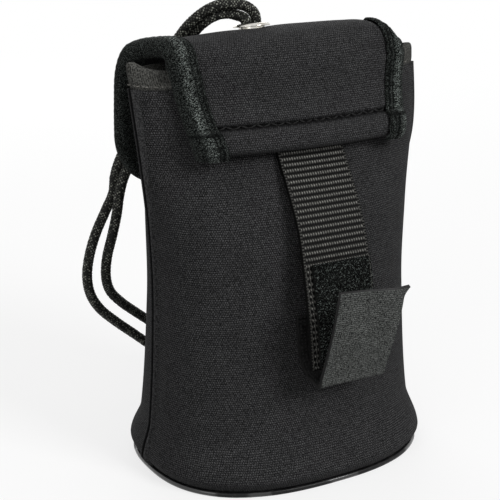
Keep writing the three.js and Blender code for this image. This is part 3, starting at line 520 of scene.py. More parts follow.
# Mouth band. A doubled strip of grey stretch knit binds the mouth's raw edge. At the side seams
# it is pinched together and stands up in a small corner.
BAND_BOTTOM = 134.6
BAND_HEIGHT = 5.4
BAND_THICKNESS = 3.0
BAND_PROUD = 0.45
BAND_LAP = 0.6
BAND_ROUNDNESS = 0.6
CORNER_RISE = 0.6
BAND_RIPPLE, BAND_RIPPLES = 0.06, 90
BAND_RIB = 0.8
CORNER_LIFT, CORNER_WIDTH = 2.6, 2.4
CORNER_PROUD = 0.7
RIGHT_CORNER = 0.25
HOLLOW_DEPTH, HOLLOW_WIDTH, HOLLOW_PLACE = 3.2, 1.9, 5.6
HOLLOW_DROP = 0.7
RIGHT_HOLLOW = 0.4
BAND_DARK, BAND_LIGHT, BAND_PATCH = shade(5, 5, 4), shade(114, 114, 110), shade(46, 46, 44)


def close_round(piece):
    """Joins the two long edges of a sheet that was laid right round something."""
    only(piece)
    bpy.ops.object.mode_set(mode="EDIT")
    bpy.ops.mesh.select_all(action="SELECT")
    bpy.ops.mesh.remove_doubles(threshold=0.02 * MM)
    bpy.ops.mesh.normals_make_consistent(inside=False)
    bpy.ops.object.mode_set(mode="OBJECT")


def mouth_place(angle, z, grow):
    """A point of the band: its corners stand up, and behind each a hollow is pressed in."""
    x, y, _ = on_body(angle, np.full_like(angle, MOUTH_Z - BAND_HEIGHT / 2))
    corner = hill(y, CORNER_WIDTH) * np.where(x < 0, 1, RIGHT_CORNER)
    hollow = hill(y + HOLLOW_PLACE, HOLLOW_WIDTH) * np.where(x < 0, 1, RIGHT_HOLLOW)
    rise = np.clip((z - BAND_BOTTOM) / BAND_HEIGHT, 0, 1) ** CORNER_RISE
    grow = grow - HOLLOW_DEPTH * hollow * rise + CORNER_PROUD * corner * rise
    x, y, _ = on_body(angle, np.minimum(z, MOUTH_Z), grow)
    return x, y, z + CORNER_LIFT * corner * rise - HOLLOW_DROP * hollow * rise


def band_surface(u, v):
    """The doubled strip, closed round the mouth. Its lower edge laps over the panels' top."""
    angle = u * 2 * np.pi
    turn = v * 2 * np.pi
    reach = BAND_HEIGHT / 2 + 0.3 + BAND_LAP * (np.sin(turn) < 0)
    z = BAND_BOTTOM + BAND_HEIGHT / 2 + reach * squared_off(np.sin(turn), BAND_ROUNDNESS)
    half = BAND_THICKNESS / 2
    grow = -half + (half + BAND_PROUD) * squared_off(np.cos(turn), BAND_ROUNDNESS)
    grow = grow + BAND_RIPPLE * np.sin(angle * BAND_RIPPLES) * hill(z - BAND_BOTTOM, 1.5)
    return mouth_place(angle, z, grow)


def stretch_knit_finish():
    """Fine ribs under a fuzz of grey fibres, worn darker in patches."""
    finish = Finish("mouth_knit", Specular_IOR_Level=0.06, Sheen_Weight=0.03, Sheen_Roughness=0.6)
    across, along = finish.cloth()
    ribs = ((across / BAND_RIB).share() * math.pi).sine()
    fuzz = finish.grain(0.5, 2.0).between(0.38, 0.66)
    patch = finish.grain(5.0).between(0.3, 0.7)
    colour = finish.mix(ribs * 0.35 + fuzz * 0.65, BAND_DARK, BAND_LIGHT)
    colour = finish.mix(patch * 0.3, colour, BAND_PATCH)
    return finish.wear(colour, fuzz * 0.1 + 0.88, ribs * 0.5 + fuzz * 0.6, depth=0.18)


band = lay_sheet("mouth_stretch_band", across=260, along=28, place=band_surface)
close_round(band)
smooth(band, 60)
dress(band, stretch_knit_finish())
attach(band, "pouch")
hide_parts("mouth_band")


def unit(vectors):
    """The same directions, each of length one."""
    return vectors / np.linalg.norm(vectors, axis=1)[:, None]


def run_along(line):
    """How far along a line each of its points is."""
    steps = np.linalg.norm(np.diff(line, axis=0), axis=1)
    return np.concatenate([[0], np.cumsum(steps)])


def repeat_shape(name, base_points, base_faces, origins, forwards, ups):
    """One mesh of copies of a small shape, such as a stitch, that was modelled once.

    Each copy has its x along forwards and its z along ups.
    """
    forwards = unit(forwards)
    sides = unit(np.cross(ups, forwards))
    ups = np.cross(forwards, sides)
    base = np.array(base_points, float)
    axes = np.stack([forwards, sides, ups], axis=1)
    points = origins[:, None, :] + np.einsum("pk,nkc->npc", base, axes)
    count = len(base)
    faces = [[corner + copy * count for corner in face]
             for copy in range(len(origins)) for face in base_faces]
    mesh = bpy.data.meshes.new(name)
    mesh.from_pydata((points.reshape(-1, 3) * MM).tolist(), [], faces)
    mesh.update()
    piece = bpy.data.objects.new(name, mesh)
    bpy.context.scene.collection.objects.link(piece)
    smooth(piece, 60)
    return piece


def bent_thread(path, thick, sides=6):
    """A thread bent along a path of x and z, as points and faces."""
    points, faces = [], []
    line = np.array(path, float)
    slopes = unit(np.gradient(line, axis=0))
    for (x, z), (run, rise) in zip(line, slopes):
        for i in range(sides):
            angle = 2 * math.pi * i / sides
            over = thick / 2 * math.sin(angle)
            points.append((x - rise * over, thick / 2 * math.cos(angle), z + run * over))
    for k in range(len(path) - 1):
        for i in range(sides):
            j = (i + 1) % sides
            faces.append((k * sides + i, (k + 1) * sides + i, (k + 1) * sides + j, k * sides + j))
    faces.append(tuple(range(sides)))
    faces.append(tuple(reversed(range((len(path) - 1) * sides, len(path) * sides))))
    return points, faces


def arch(length, thick, rise, rings=6):
    """The path of a thread that rises out of the cloth and dips back in."""
    shares = [k / (rings - 1) for k in range(rings)]
    return [((share - 0.5) * length, rise * math.sin(math.pi * share) - thick * 0.4) for share in shares]


def row_of_stitches(name, line, ups, length, pitch, thick, rise=0.35, slant=0.0):
    """Stitches along a line of points, whose ups point out of the cloth."""
    run = run_along(line)
    places = np.arange(pitch / 2, run[-1], pitch)

    def at(values, where):
        return np.stack([np.interp(where, run, values[:, k]) for k in range(3)], axis=1)

    origins = at(line, places)
    forwards = at(line, places + 0.4) - at(line, places - 0.4)
    lifts = unit(at(ups, places))
    if slant:
        forwards = unit(forwards)
        way = np.where(np.arange(len(places)) % 2 == 0, 1, -1)[:, None] * slant
        forwards = forwards + np.cross(lifts, forwards) * way
    points, faces = bent_thread(arch(length, thick, rise), thick)
    return repeat_shape(name, points, faces, origins, forwards, lifts)


def lay_line(surface, first, last, count=400):
    """A line of points and outward directions over a surface of (a, stand), from shares of a."""
    places = np.linspace(first, last, count)
    on = np.stack(surface(places, 0.0), axis=1)
    off = np.stack(surface(places, 1.0), axis=1)
    return on, off - on


def thread_finish(name, dark, light):
    """Twisted nylon thread: light and dark plies, and a slight gloss."""
    finish = Finish(name, Specular_IOR_Level=0.2)
    twist = finish.grain(0.35).between(0.3, 0.7)
    colour = finish.mix(twist, dark, light)
    return finish.wear(colour, twist * 0.3 + 0.45, twist, depth=0.05, strength=0.5)


BAND_SEAM_Z = BAND_BOTTOM + 0.5
BAND_SEAM_FROM = 0.34


def band_seam(angle, stand):
    return mouth_place(angle, np.full_like(angle, BAND_SEAM_Z), BAND_PROUD + stand)


line, ups = lay_line(band_seam, BAND_SEAM_FROM, 2 * math.pi - BAND_SEAM_FROM, 900)
band_stitches = row_of_stitches(
    "mouth_band_stitches", line, ups, length=1.9, pitch=2.9, thick=0.5, rise=0.5)
pale_thread = thread_finish("thread_pale", shade(44, 44, 42), shade(134, 132, 126))
dress(band_stitches, pale_thread)
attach(band_stitches, "pouch")


# Base. A moulded non-slip sole with a glossy rim is sewn under the panels; a neoprene pad covers
# it inside, and a narrow binding covers the pad's seam.
SOLE_THICKNESS = 1.8
SOLE_RIM = 1.1
SOLE_ROUNDING = 0.7
TREAD, TREAD_RINGS = 0.35, 12
PAD_TOP = PANEL_BOTTOM + NEOPRENE
PAD_SINK = 0.2
PAD_ROUNDING = 1.2
PLATE_FACE = 0.42
PLATE_RIM = 0.16
PLATE_AROUND, PLATE_INWARDS = 160, 70
BASE_RADIUS = 45
NOTCH, NOTCH_ANGLE, NOTCH_WIDTH = 0.5, math.radians(235), 0.7
CREASE, CREASE_ANGLE, CREASE_WIDTH = 0.25, math.radians(241), 0.4
RUBBER_DARK, RUBBER_LIGHT, RUBBER_SCUFF = shade(12, 12, 13), shade(26, 26, 27), shade(58, 57, 55)


def plate_surface(grow, bottom, top, rounding, tread=0.0):
    """A plate with a rounded rim: v runs from its middle below, round the rim, to its middle above.

    A plate with a tread is the moulding: rings below, and a notch and a crease in its rim.
    """
    def place(u, v):
        angle = u * 2 * np.pi
        turn = np.clip((v - PLATE_FACE) / PLATE_RIM, 0, 1) * np.pi
        inwards = np.clip(1 - np.minimum(v, 1 - v) / PLATE_FACE, 0, 1)
        z = bottom + (top - bottom) * (0.5 - 0.5 * np.cos(turn))
        round_off = rounding * (1 - np.sin(turn))
        notch = NOTCH * hill((angle - NOTCH_ANGLE) * BASE_RADIUS, NOTCH_WIDTH)
        notch = notch + CREASE * hill((angle - CREASE_ANGLE) * BASE_RADIUS, CREASE_WIDTH)
        notch = notch * np.sin(turn) if tread else 0.0
        x, y, _ = on_body(angle, np.full_like(angle, PANEL_BOTTOM), grow - round_off - notch)
        rings = 0.5 - 0.5 * np.cos(inwards * 2 * TREAD_RINGS * np.pi)
        ripple = tread * rings * (v < PLATE_FACE) * (inwards > 0.08)
        return x * (1 - inwards), y * (1 - inwards), z + ripple

    return place


def rubber_finish():
    """Black rubber with a glossy skin that is rubbed off in places."""
    finish = Finish("sole_rubber", Specular_IOR_Level=0.2, Coat_Roughness=0.12)
    scuff = finish.grain(1.2, 5.0).between(0.5, 0.8)
    cloud = finish.grain(12.0).between(0.3, 0.7)
    colour = finish.mix(cloud, RUBBER_DARK, RUBBER_LIGHT)
    colour = finish.mix(scuff * 0.5, colour, RUBBER_SCUFF)
    finish.feed(finish.shader.inputs["Coat Weight"], finish.grain(22.0, 1.0).between(0.47, 0.52))
    roughness = scuff * 0.3 + 0.3 + cloud * 0.08
    return finish.wear(colour, roughness, finish.grain(0.8), depth=0.05, strength=0.35)


def make_plate(name, node, surface, finish):
    plate = lay_sheet(name, PLATE_AROUND, PLATE_INWARDS, surface)
    close_round(plate)
    smooth(plate, 40)
    dress(plate, finish)
    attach(plate, "pouch")
    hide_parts(node)


sole_place = plate_surface(SOLE_RIM, 0, SOLE_THICKNESS, SOLE_ROUNDING, TREAD)
make_plate("moulded_sole", "sole", sole_place, rubber_finish())
pad_place = plate_surface(-NEOPRENE, PANEL_BOTTOM - PAD_SINK, PAD_TOP, PAD_ROUNDING)
make_plate("base_cushion", "base_pad", pad_place, neoprene)


# Inner base binding. A strip of brushed stretch knit is sewn inside, over the seam between the
# base pad and the panels.
BASE_BINDING = 0.8
BASE_BINDING_WIDTH = 6
BASE_BINDING_HEIGHT = 4
BASE_BINDING_LIFT = 0.3
FUZZ_PITCH, FUZZ_SLOPE = 0.9, 1.5
FUZZ_DARK, FUZZ_LIGHT = shade(6, 8, 7), shade(166, 175, 170)


def base_binding_surface(u, v):
    angle = u * 2 * np.pi
    inwards = BASE_BINDING_WIDTH * v
    z = PAD_TOP + BASE_BINDING_LIFT + BASE_BINDING_HEIGHT * (1 - v) ** 2
    grow = -NEOPRENE - BASE_BINDING_LIFT - inwards
    x, y, _ = on_body(angle, np.full_like(angle, PANEL_BOTTOM), grow)
    return x, y, z


def fuzzy_binding_finish(name, crest_at, rows=(), shaded_folds=()):
    """Brushed stretch knit: light fibres stand out of it in flecks, with a painted highlight on its
    crest.

    Painted shade darkens it down in its needle rows and in the creases of its folded ends.
    """
    finish = Finish(name, Specular_IOR_Level=0.05, Sheen_Weight=0.03, Sheen_Roughness=0.5)
    across, along = finish.cloth()
    fibre = finish.grain(0.32, 1.5).between(0.47, 0.62)
    tuft = finish.grain(1.5, 2.0).between(0.35, 0.65)
    slant = ((along / FUZZ_PITCH + across / FUZZ_SLOPE).share() * math.pi).sine()
    # Painted highlight: lighter along the crest, darker away from it on both sides.
    crest = 1 - (across - crest_at).size().between(0.3, 2.4)
    level = fibre * (tuft * 0.4 + 0.6) * (slant * 0.45 + 0.55) * (crest * 0.66 + 0.34)
    # Painted shade in the needle rows and in the creases of the folded ends.
    for row in rows:
        level = level * ((across - row).size().between(0.1, 0.55) * 0.85 + 0.15)
    for fold in shaded_folds:
        level = level * ((along - fold).size().between(0.2, 0.9) * 0.85 + 0.15)
    colour = finish.mix(level, FUZZ_DARK, FUZZ_LIGHT)
    relief = fibre * 0.6 + slant * 0.4
    return finish.wear(colour, fibre * 0.1 + 0.9, relief, depth=0.3, strength=0.9)


base_strip = lay_sheet("base_seam_binding", across=160, along=8, place=base_binding_surface)
close_round(base_strip)
thicken(base_strip, BASE_BINDING)
smooth(base_strip, 60)
dress(base_strip, fuzzy_binding_finish("fuzzy_base_binding", 0))
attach(base_strip, "pouch")
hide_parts("base_binding")


# Flap. One sheet of neoprene starts at a hem that is turned under and sewn across the back,
# goes up and over the mouth, and closes down the front with rounded corners.
FLAP_SHEET = 3.2
CURVED_GAP = 0.4
HEM_Z = 112.5
HEM_TOP = 121.5
HEM_FOLD = 2.2
ROOT_TOP = 139.85
HEM_HALF_WIDTH = 36.8
BEND_HALF_WIDTH = 42.7
RIDGE_HALF_WIDTH = 43.8
LID_HALF_WIDTH = 48.7
HEM_SPREAD = 2.2
ROOT_ASIDE = 1.2
CORNER_TUCK = 1.6
CORNER_DROP = 2.4
RIDGE_RISE = 2.2
ROOT_CUT_BACK = 2.6
SEAM_PULL, SEAM_PULL_WIDTH = 1.8, 0.8
PUCKER, PUCKER_PITCH, PUCKER_WIDTH = 0.14, 3.2, 2.6
EYELET_SEAT = Vector((-6.0, 6.4874, 146.4748))
EYELET_TILT = math.radians(10.566)
EYELET_AXIS = Vector((0, math.sin(EYELET_TILT), math.cos(EYELET_TILT)))
EYELET_BARREL = 4.4
EYELET_DENT, EYELET_DENT_WIDTH = 0.5, 8
FLAP_WAVE, FLAP_WAVE_LENGTH = 0.4, 26
PAST_THE_SEAM = 99
ROUGH_HALF_WIDTH = 50
BORDER_SINK, BORDER_SINK_WIDTH = 0.3, 1.2
LID_CORNER = 20
LID_DROP = 42
LID_END_Z = MOUTH_Z - LID_DROP
STRAP_ROOM = 1.8
LID_BACK = 11.1
LID_FRONT = 18.3
LID_FOOT = size_at("front", np.array([LID_END_Z]))[0] + 3.5
BINDING_WIDTH = 6.6
over_mouth = [
    (-LID_BACK, MOUTH_Z + 0.15), (-LID_BACK + 1.8, MOUTH_Z + 3.64), (-LID_BACK * 0.42, MOUTH_Z + 6.44),
    (LID_FRONT * 0.16, MOUTH_Z + 7), (LID_FRONT * 0.62, MOUTH_Z + 4.9),
    (LID_FRONT * 0.93, MOUTH_Z - 1.2)]
down_front = [
    (LID_FRONT + (LID_FOOT - LID_FRONT) * out, MOUTH_Z - LID_DROP * down)
    for out, down in ((0.2, 0.26), (0.52, 0.52), (0.82, 0.8))]
lid_knots = [*over_mouth, *down_front, (LID_FOOT + 0.6, LID_END_Z)]


class Profile:
    """A smooth line in the YZ plane through its knots, read by share of its length."""

    def __init__(self, knots, fine=60):
        points = np.array(knots, float)
        ends = np.vstack([points[0], points, points[-1]])
        line = []
        for a, b, c, d in zip(ends, ends[1:], ends[2:], ends[3:]):
            t = np.linspace(0, 1, fine, endpoint=False)[:, None]
            enter, leave = (c - a) / 2, (d - b) / 2
            line.append((2 * b - 2 * c + enter + leave) * t ** 3
                        + (3 * c - 3 * b - 2 * enter - leave) * t ** 2 + enter * t + b)
        self.line = np.vstack([*line, points[-1]])
        self.run = run_along(self.line)
        self.length = self.run[-1]
        self.slopes = unit(np.gradient(self.line, axis=0))

    def at(self, share, stand=0.0):
        """Y and z at shares of the length, moved off the line to the left of its direction."""
        where = np.clip(share, 0, 1) * self.length
        past = (share - np.clip(share, 0, 1)) * self.length
        columns = (*self.line.T, *self.slopes.T)
        y, z, dy, dz = (np.interp(where, self.run, column) for column in columns)
        return y + dy * past - dz * stand, z + dz * past + dy * stand


lid_profile = Profile(lid_knots)


def root_half_width(z):
    at_seam = HEM_HALF_WIDTH + HEM_SPREAD
    return through(((HEM_Z, HEM_HALF_WIDTH), (HEM_TOP, at_seam), (ROOT_TOP, BEND_HALF_WIDTH)), z)


def lid_half_width(t):
    at_end = LID_HALF_WIDTH - 1.2
    return through(
        ((0, BEND_HALF_WIDTH), (0.2, RIDGE_HALF_WIDTH), (0.34, LID_HALF_WIDTH), (1, at_end)), t)


def hem_bulge(z):
    """How far the turned-under hem swells out, from its fold up to its seam."""
    swell = ((HEM_Z, 0.44), (HEM_Z + 2.2, HEM_FOLD), (HEM_TOP - 2.2, 1.76), (HEM_TOP, 0), (MOUTH_Z, 0))
    return through(swell, z)


def root_point(x, z, stand):
    """A point of the flap's part on the back, which is sewn a little to the right of the middle."""
    lift = through(((HEM_Z, STRAP_ROOM), (HEM_TOP, STRAP_ROOM), (HEM_TOP + 9, 0), (MOUTH_Z, 0)), z)
    aside = x + ROOT_ASIDE
    return aside, -(face_depth("back", aside, z, CURVED_GAP) + lift + stand), z


def lid_point(x, t, stand):
    """A point of the lid: its edges fall back by the sag and hang lower by the droop.

    Along the ridge it rises towards the right, and its right corner is pulled in and down.
    """
    place = np.clip(t, 0, 1)
    sag = through(((0, -6.1), (0.1, -2.2), (0.2, 0), (0.34, 0.6), (0.6, 3), (1, 6)), place)
    droop = through(((0, 0), (0.2, 2.4), (0.34, 2.8), (1, 3)), place)
    outwards = (x / lid_half_width(place)) ** 2
    over_ridge = through(((0, 0), (0.1, 1), (0.26, 1), (0.45, 0)), place)
    to_right = np.clip(x / lid_half_width(place), 0, 1)
    pulled = over_ridge * to_right ** 5
    rise = through(((0, 0), (0.3, 0.14), (0.6, 0.6), (0.8, 1), (0.93, 0.7), (1, -0.4)), to_right)
    y, z = lid_profile.at(t, stand)
    x = x + ROOT_ASIDE * np.clip(1 - place / 0.2, 0, 1) - CORNER_TUCK * pulled
    lift = RIDGE_RISE * over_ridge * rise - CORNER_DROP * pulled
    return x, y - sag * outwards, z - droop * outwards + lift


def lid_edge(t):
    """The lid's half width, with its corners rounded off."""
    in_corner = np.maximum(LID_CORNER - (1 - t) * lid_profile.length, 0)
    across_corner = np.sqrt(np.maximum(LID_CORNER ** 2 - in_corner ** 2, 0))
    return lid_half_width(t) - (LID_CORNER - across_corner)


CORNER_FROM = 0.62
ROOT_SHARE = 0.27


def lid_place(along):
    """Places along the lid, closer together where its corners round off."""
    corner_at = 1 - LID_CORNER / lid_profile.length
    turn = np.clip((along - CORNER_FROM) / (1 - CORNER_FROM), 0, 1) * math.pi / 2
    in_corner = corner_at + np.sin(turn) * LID_CORNER / lid_profile.length
    return np.where(along < CORNER_FROM, along / CORNER_FROM * corner_at, in_corner)


def on_flap(x_share, v, stand):
    """A point of the flap: x_share from -1 to 1 across, v from the hem to the free end."""
    z = HEM_Z + (ROOT_TOP - HEM_Z) * np.clip(v / ROOT_SHARE, 0, 1)
    t = lid_place(np.clip((v - ROOT_SHARE) / (1 - ROOT_SHARE), 0, 1))
    root = root_point(x_share * root_half_width(z), z, stand)
    over = lid_point(x_share * lid_edge(t), t, stand)
    return [np.where(v < ROOT_SHARE, a, b) for a, b in zip(root, over)]


def flap_surface(u, v):
    """The flap's outer face: a rolled hem, a puckered seam, soft waves and a dent at the eyelet."""
    x_share = u * 2 - 1
    x, y, z = on_flap(x_share, v, FLAP_SHEET)
    in_root = v < ROOT_SHARE
    to_seam = np.where(in_root, z - HEM_TOP, PAST_THE_SEAM)
    low = np.clip(1 - (z - HEM_Z) / ROOT_CUT_BACK, 0, 1) * in_root
    stand = FLAP_SHEET + np.where(in_root, hem_bulge(z), 0)
    stand = stand - ROOT_CUT_BACK * (1 - np.sqrt(1 - low ** 2))
    stand = stand - SEAM_PULL * hill(to_seam, SEAM_PULL_WIDTH)
    puckers = np.sin(x * 2 * np.pi / PUCKER_PITCH) * hill(to_seam, PUCKER_WIDTH)
    stand = stand + PUCKER * puckers
    border = np.abs(np.abs(x_share) * ROUGH_HALF_WIDTH - (ROUGH_HALF_WIDTH - BINDING_WIDTH))
    stand = stand - BORDER_SINK * hill(border, BORDER_SINK_WIDTH)
    stand = stand + FLAP_WAVE * soft_waves(x, y, z, FLAP_WAVE_LENGTH)
    from_eyelet = np.hypot(x - EYELET_SEAT.x, y - EYELET_SEAT.y - 0.9)
    dent = EYELET_DENT * hill(from_eyelet, EYELET_DENT_WIDTH)
    stand = np.where(z > MOUTH_Z, stand - dent, stand)
    return on_flap(x_share, v, stand)


FLAP_ACROSS, FLAP_ALONG = 96, 170
flap = lay_sheet("flap", FLAP_ACROSS, FLAP_ALONG, flap_surface)
heights = np.array([vertex.co.z for vertex in flap.data.vertices]) / MM
depths = np.array([vertex.co.y for vertex in flap.data.vertices]) / MM
on_back = (depths < -8) & (heights < ROOT_TOP)
hem_edge = 2.2 * np.clip(1 - (heights - HEM_Z) / ROOT_CUT_BACK, 0, 1) ** 2
thickness = FLAP_SHEET + np.where(on_back, hem_bulge(heights) - hem_edge, 0)
MOST_THICK = FLAP_SHEET + HEM_FOLD + 0.2
rows = flap.data.uv_layers.active.data
near_seam = [rows[corner.index].uv.y for corner in flap.data.loops
             if on_back[corner.vertex_index] and abs(heights[corner.vertex_index] - HEM_TOP) < 0.5]
hem_seam = sum(near_seam) / len(near_seam) / MM
thicken(flap, MOST_THICK, thickness / MOST_THICK)

# The hole for the eyelet is punched through the finished sheet.
PUNCH_LENGTH = 16
PUNCH_ROOM = 0.1
bpy.ops.object.select_all(action="DESELECT")
bpy.ops.mesh.primitive_cylinder_add(
    vertices=48, radius=(EYELET_BARREL + PUNCH_ROOM) * MM, depth=PUNCH_LENGTH * MM,
    location=(EYELET_SEAT + EYELET_AXIS * 1.5) * MM, rotation=(-EYELET_TILT, 0, 0))
punch = bpy.context.object
apply_modifier(flap, "BOOLEAN", operation="DIFFERENCE", solver="EXACT", object=punch)
bpy.data.objects.remove(punch)
smooth(flap, 50)
# Painted shade in the hem seam's groove, and a painted shadow over the first 3.2 mm up from the hem's
# folded lower edge.
seam_groove_shade = (hem_seam, 2.3, 1.1)
hem_shadow = (0, 3.2, 0)
dress(flap, jersey_finish("flap_jersey", [seam_groove_shade, hem_shadow]))


# Hem seam. Where the flap's turned-under edge is sewn down, one zigzag row of heavy black nylon
# thread runs across the back, pulled into the neoprene.
HEM_SEAM_DEPTH = 1.2


def hem_seam_line(x, stand):
    return root_point(x, np.full_like(x, HEM_TOP), FLAP_SHEET - HEM_SEAM_DEPTH + stand)


line, ups = lay_line(hem_seam_line, -HEM_HALF_WIDTH, HEM_HALF_WIDTH)
hem_stitches = row_of_stitches(
    "hem_stitches", line, ups, length=2.5, pitch=HEM_PITCH, thick=0.7, rise=0.5, slant=0.45)
black_thread = thread_finish("thread_black", shade(8), shade(30))
dress(hem_stitches, black_thread)


# Flap binding. A ribbon of brushed stretch knit, folded over the flap's raw edge, runs up one
# side from the hem, round the free end and back down to the hem, sewn with a twin needle.
BINDING = 0.85
BINDING_INSIDE = 6.0
BINDING_ROUND = 0.8
ROOT_TRAVEL = 0.2
END_TRAVEL = 0.22
TWIN_NEEDLE = (5.8, 3.9)
NEEDLE_SINK, NEEDLE_WIDTH = 0.6, 0.5
ROLL_SWELL, ROLL_PLACE, ROLL_WIDTH = 0.35, 1.9, 1.4
CREST_PLACE = 1.8
BORDER_TURN, BORDER_TURN_WIDTH = 0.45, 0.7
END_FOLD = 0.9
FOLDED_END = 8.9
END_CREASE, END_CREASE_WIDTH = 0.5, 0.6
RIPPLE = 0.12


def along_edge(travel):
    """Places along the binding: side, share, root height, lid place, fade at the end, corner's turn."""
    side = np.where(travel < 0.5, -1, 1)
    half = np.where(travel < 0.5, travel * 2, (1 - travel) * 2)
    z = HEM_Z - 0.5 + (ROOT_TOP - HEM_Z + 0.5) * np.clip(half / ROOT_TRAVEL, 0, 1)
    t = lid_place(np.clip((half - ROOT_TRAVEL) / (1 - ROOT_TRAVEL - END_TRAVEL), 0, 1))
    flat = np.clip((1 - half) / END_TRAVEL, 0, 1)
    in_corner = np.clip((LID_CORNER - (1 - t) * lid_profile.length) / LID_CORNER, 0, 1)
    turn = np.arcsin(in_corner)
    return side, half, z, t, flat, turn


def on_binding(travel, out, lift):
    """A point out from the flap's edge, lift over the sheet's inner face."""
    side, half, z, t, flat, turn = along_edge(travel)
    root = root_point(side * (root_half_width(z) + out), z, lift + hem_bulge(z) * (lift > 1.6))
    x = side * (lid_edge(t) * flat + out * np.cos(turn))
    over = lid_point(x, t + out * np.sin(turn) / lid_profile.length, lift)
    return [np.where(half < ROOT_TRAVEL, a, b) for a, b in zip(root, over)]


def binding_surface(u, v):
    """The ribbon's outer face: u from its inner border over the fold to the inside, v along it."""
    half_thick = FLAP_SHEET / 2 + BINDING
    arc = math.pi * half_thick
    run = u * (BINDING_WIDTH + arc + BINDING_INSIDE)
    turn = np.clip((run - BINDING_WIDTH) / arc, 0, 1) * math.pi
    out = np.minimum(run - BINDING_WIDTH, 0) + half_thick * BINDING_ROUND * np.sin(turn)
    out = out - np.maximum(run - BINDING_WIDTH - arc, 0)
    lift = FLAP_SHEET / 2 + half_thick * np.cos(turn)
    outside = run < BINDING_WIDTH
    for row in TWIN_NEEDLE:
        lift = lift - NEEDLE_SINK * hill(-out - row, NEEDLE_WIDTH) * outside
    lift = lift + ROLL_SWELL * hill(-out - ROLL_PLACE, ROLL_WIDTH) * outside
    lift = lift - BORDER_TURN * hill(run, BORDER_TURN_WIDTH)
    _, half, z, *_ = along_edge(v)
    in_root = half < ROOT_TRAVEL
    from_hem = np.where(in_root, z - HEM_Z, PAST_THE_SEAM)
    doubled = END_FOLD * np.clip((FOLDED_END - from_hem) / 1.2, 0, 1)
    crease = END_CREASE * hill(from_hem - FOLDED_END, END_CREASE_WIDTH)
    lift = lift + outside * (doubled - crease)
    lift = lift + RIPPLE * np.sin(v * 900 + u * 7) * np.sin(u * 40)
    lift = np.where((lift < 0) & in_root, lift * 0.4, lift)
    return on_binding(v, out, lift)


BINDING_ACROSS, BINDING_ALONG = 34, 620
binding = lay_sheet("flap_binding", BINDING_ACROSS, BINDING_ALONG, binding_surface)
BINDING_TRAVEL = max(corner.uv.y for corner in binding.data.uv_layers.active.data) / MM
BINDING_MIDDLE = (BINDING_WIDTH + math.pi * (FLAP_SHEET / 2 + BINDING) + BINDING_INSIDE) / 2
thicken(binding, BINDING * 0.8)
smooth(binding, 60)
fuzzy = fuzzy_binding_finish(
    "fuzzy_binding", BINDING_WIDTH - CREST_PLACE - BINDING_MIDDLE,
    [BINDING_WIDTH - row - BINDING_MIDDLE for row in TWIN_NEEDLE],
    (FOLDED_END, BINDING_TRAVEL - FOLDED_END))
dress(binding, fuzzy)

flecked_thread = thread_finish("thread_flecked", shade(10, 12, 11), shade(122, 130, 125))
twin_rows = []


def needle_row(row):
    """The line of one needle, that far in from the flap's edge."""
    def at(travel, stand):
        lift = np.full_like(travel, FLAP_SHEET + BINDING - 0.3 + stand)
        return on_binding(travel, np.full_like(travel, -row), lift)

    return at


for number, row in enumerate(TWIN_NEEDLE):
    line, ups = lay_line(needle_row(row), 0.004, 0.996, 1600)
    stitches = row_of_stitches(
        f"twin_needle_row_{number + 1}", line, ups,
        length=1.7, pitch=2.1, thick=0.42, rise=0.3, slant=0.35)
    dress(stitches, flecked_thread if number == 0 else black_thread)
    twin_rows.append(stitches)

for piece in (flap, hem_stitches, binding, *twin_rows):
    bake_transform(piece)
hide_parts("flap_root", "flap_lid")
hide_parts("left_root_binding", "right_root_binding", "lid_binding")


# Closure. A patch of loop tape is sewn on the front under the flap's end and a patch of hook tape
# inside the flap, so that the flap presses shut.
TAPE = 1.3
GAP = 0.3
CLOSURE_HALF_WIDTH = 24
CLOSURE_HEIGHT = 17
CLOSURE_LIFT = 5
LOOP_SPACING = 0.62
LOOP_LENGTH, LOOP_RISE = 0.8, 0.42
LOOP_THICK = 0.12
HOOK_SPACING = 1.25
HOOK_THICK = 0.2
HOOK_PATH = [(0, -0.2), (0, 0.3), (0.04, 0.55), (0.2, 0.75), (0.4, 0.68), (0.46, 0.45)]
HOOK_DISORDER = 0.15
BESIDE = 0.004
PATCH_SEAM = 0.04
LOOP_DARK, LOOP_LIGHT = shade(6), shade(48, 51, 49)
PILE_DARK, PILE_LIGHT = shade(7), shade(160, 170, 165)
HOOK_DARK, HOOK_LIGHT = shade(12), shade(34)


def directions(surface, u, v):
    """Points of a surface, and which way its two shares run there."""
    here = np.stack(surface(u, v), axis=1)
    side = np.stack(surface(u + BESIDE, v), axis=1) - here
    up = np.stack(surface(u, v + BESIDE), axis=1) - here
    return here, side, up


def scatter(surface, width, height, spacing, seed, disorder=1.0):
    """Places over a surface with a heading and an outward direction; disorder 0 lines them up."""
    random = np.random.default_rng(seed)
    across, along = round(width / spacing), round(height / spacing)
    u, v = np.meshgrid((np.arange(across) + 0.5) / across, (np.arange(along) + 0.5) / along)
    u = u.ravel() + disorder * random.uniform(-0.5, 0.5, u.size) / across
    v = v.ravel() + disorder * random.uniform(-0.5, 0.5, v.size) / along
    here, side, up = directions(surface, u, v)
    side, up = unit(side), unit(up)
    angle = math.pi / 2 + disorder * random.uniform(-math.pi, math.pi, u.size)
    heading = np.cos(angle)[:, None] * side + np.sin(angle)[:, None] * up
    return here, heading, np.cross(side, up)


def pile(name, surface, width, height, seed):
    """The loops of a loop tape, bent every way."""
    path = arch(LOOP_LENGTH, LOOP_THICK, LOOP_RISE, rings=5)
    points, faces = bent_thread(path, LOOP_THICK, sides=4)
    places = scatter(surface, width, height, LOOP_SPACING, seed)
    return repeat_shape(name, points, faces, *places)


def hooks(name, surface, width, height, seed):
    """The hooks of a hook tape, in rows."""
    points, faces = bent_thread(HOOK_PATH, HOOK_THICK, sides=5)
    places = scatter(surface, width, height, HOOK_SPACING, seed, HOOK_DISORDER)
    return repeat_shape(name, points, faces, *places)


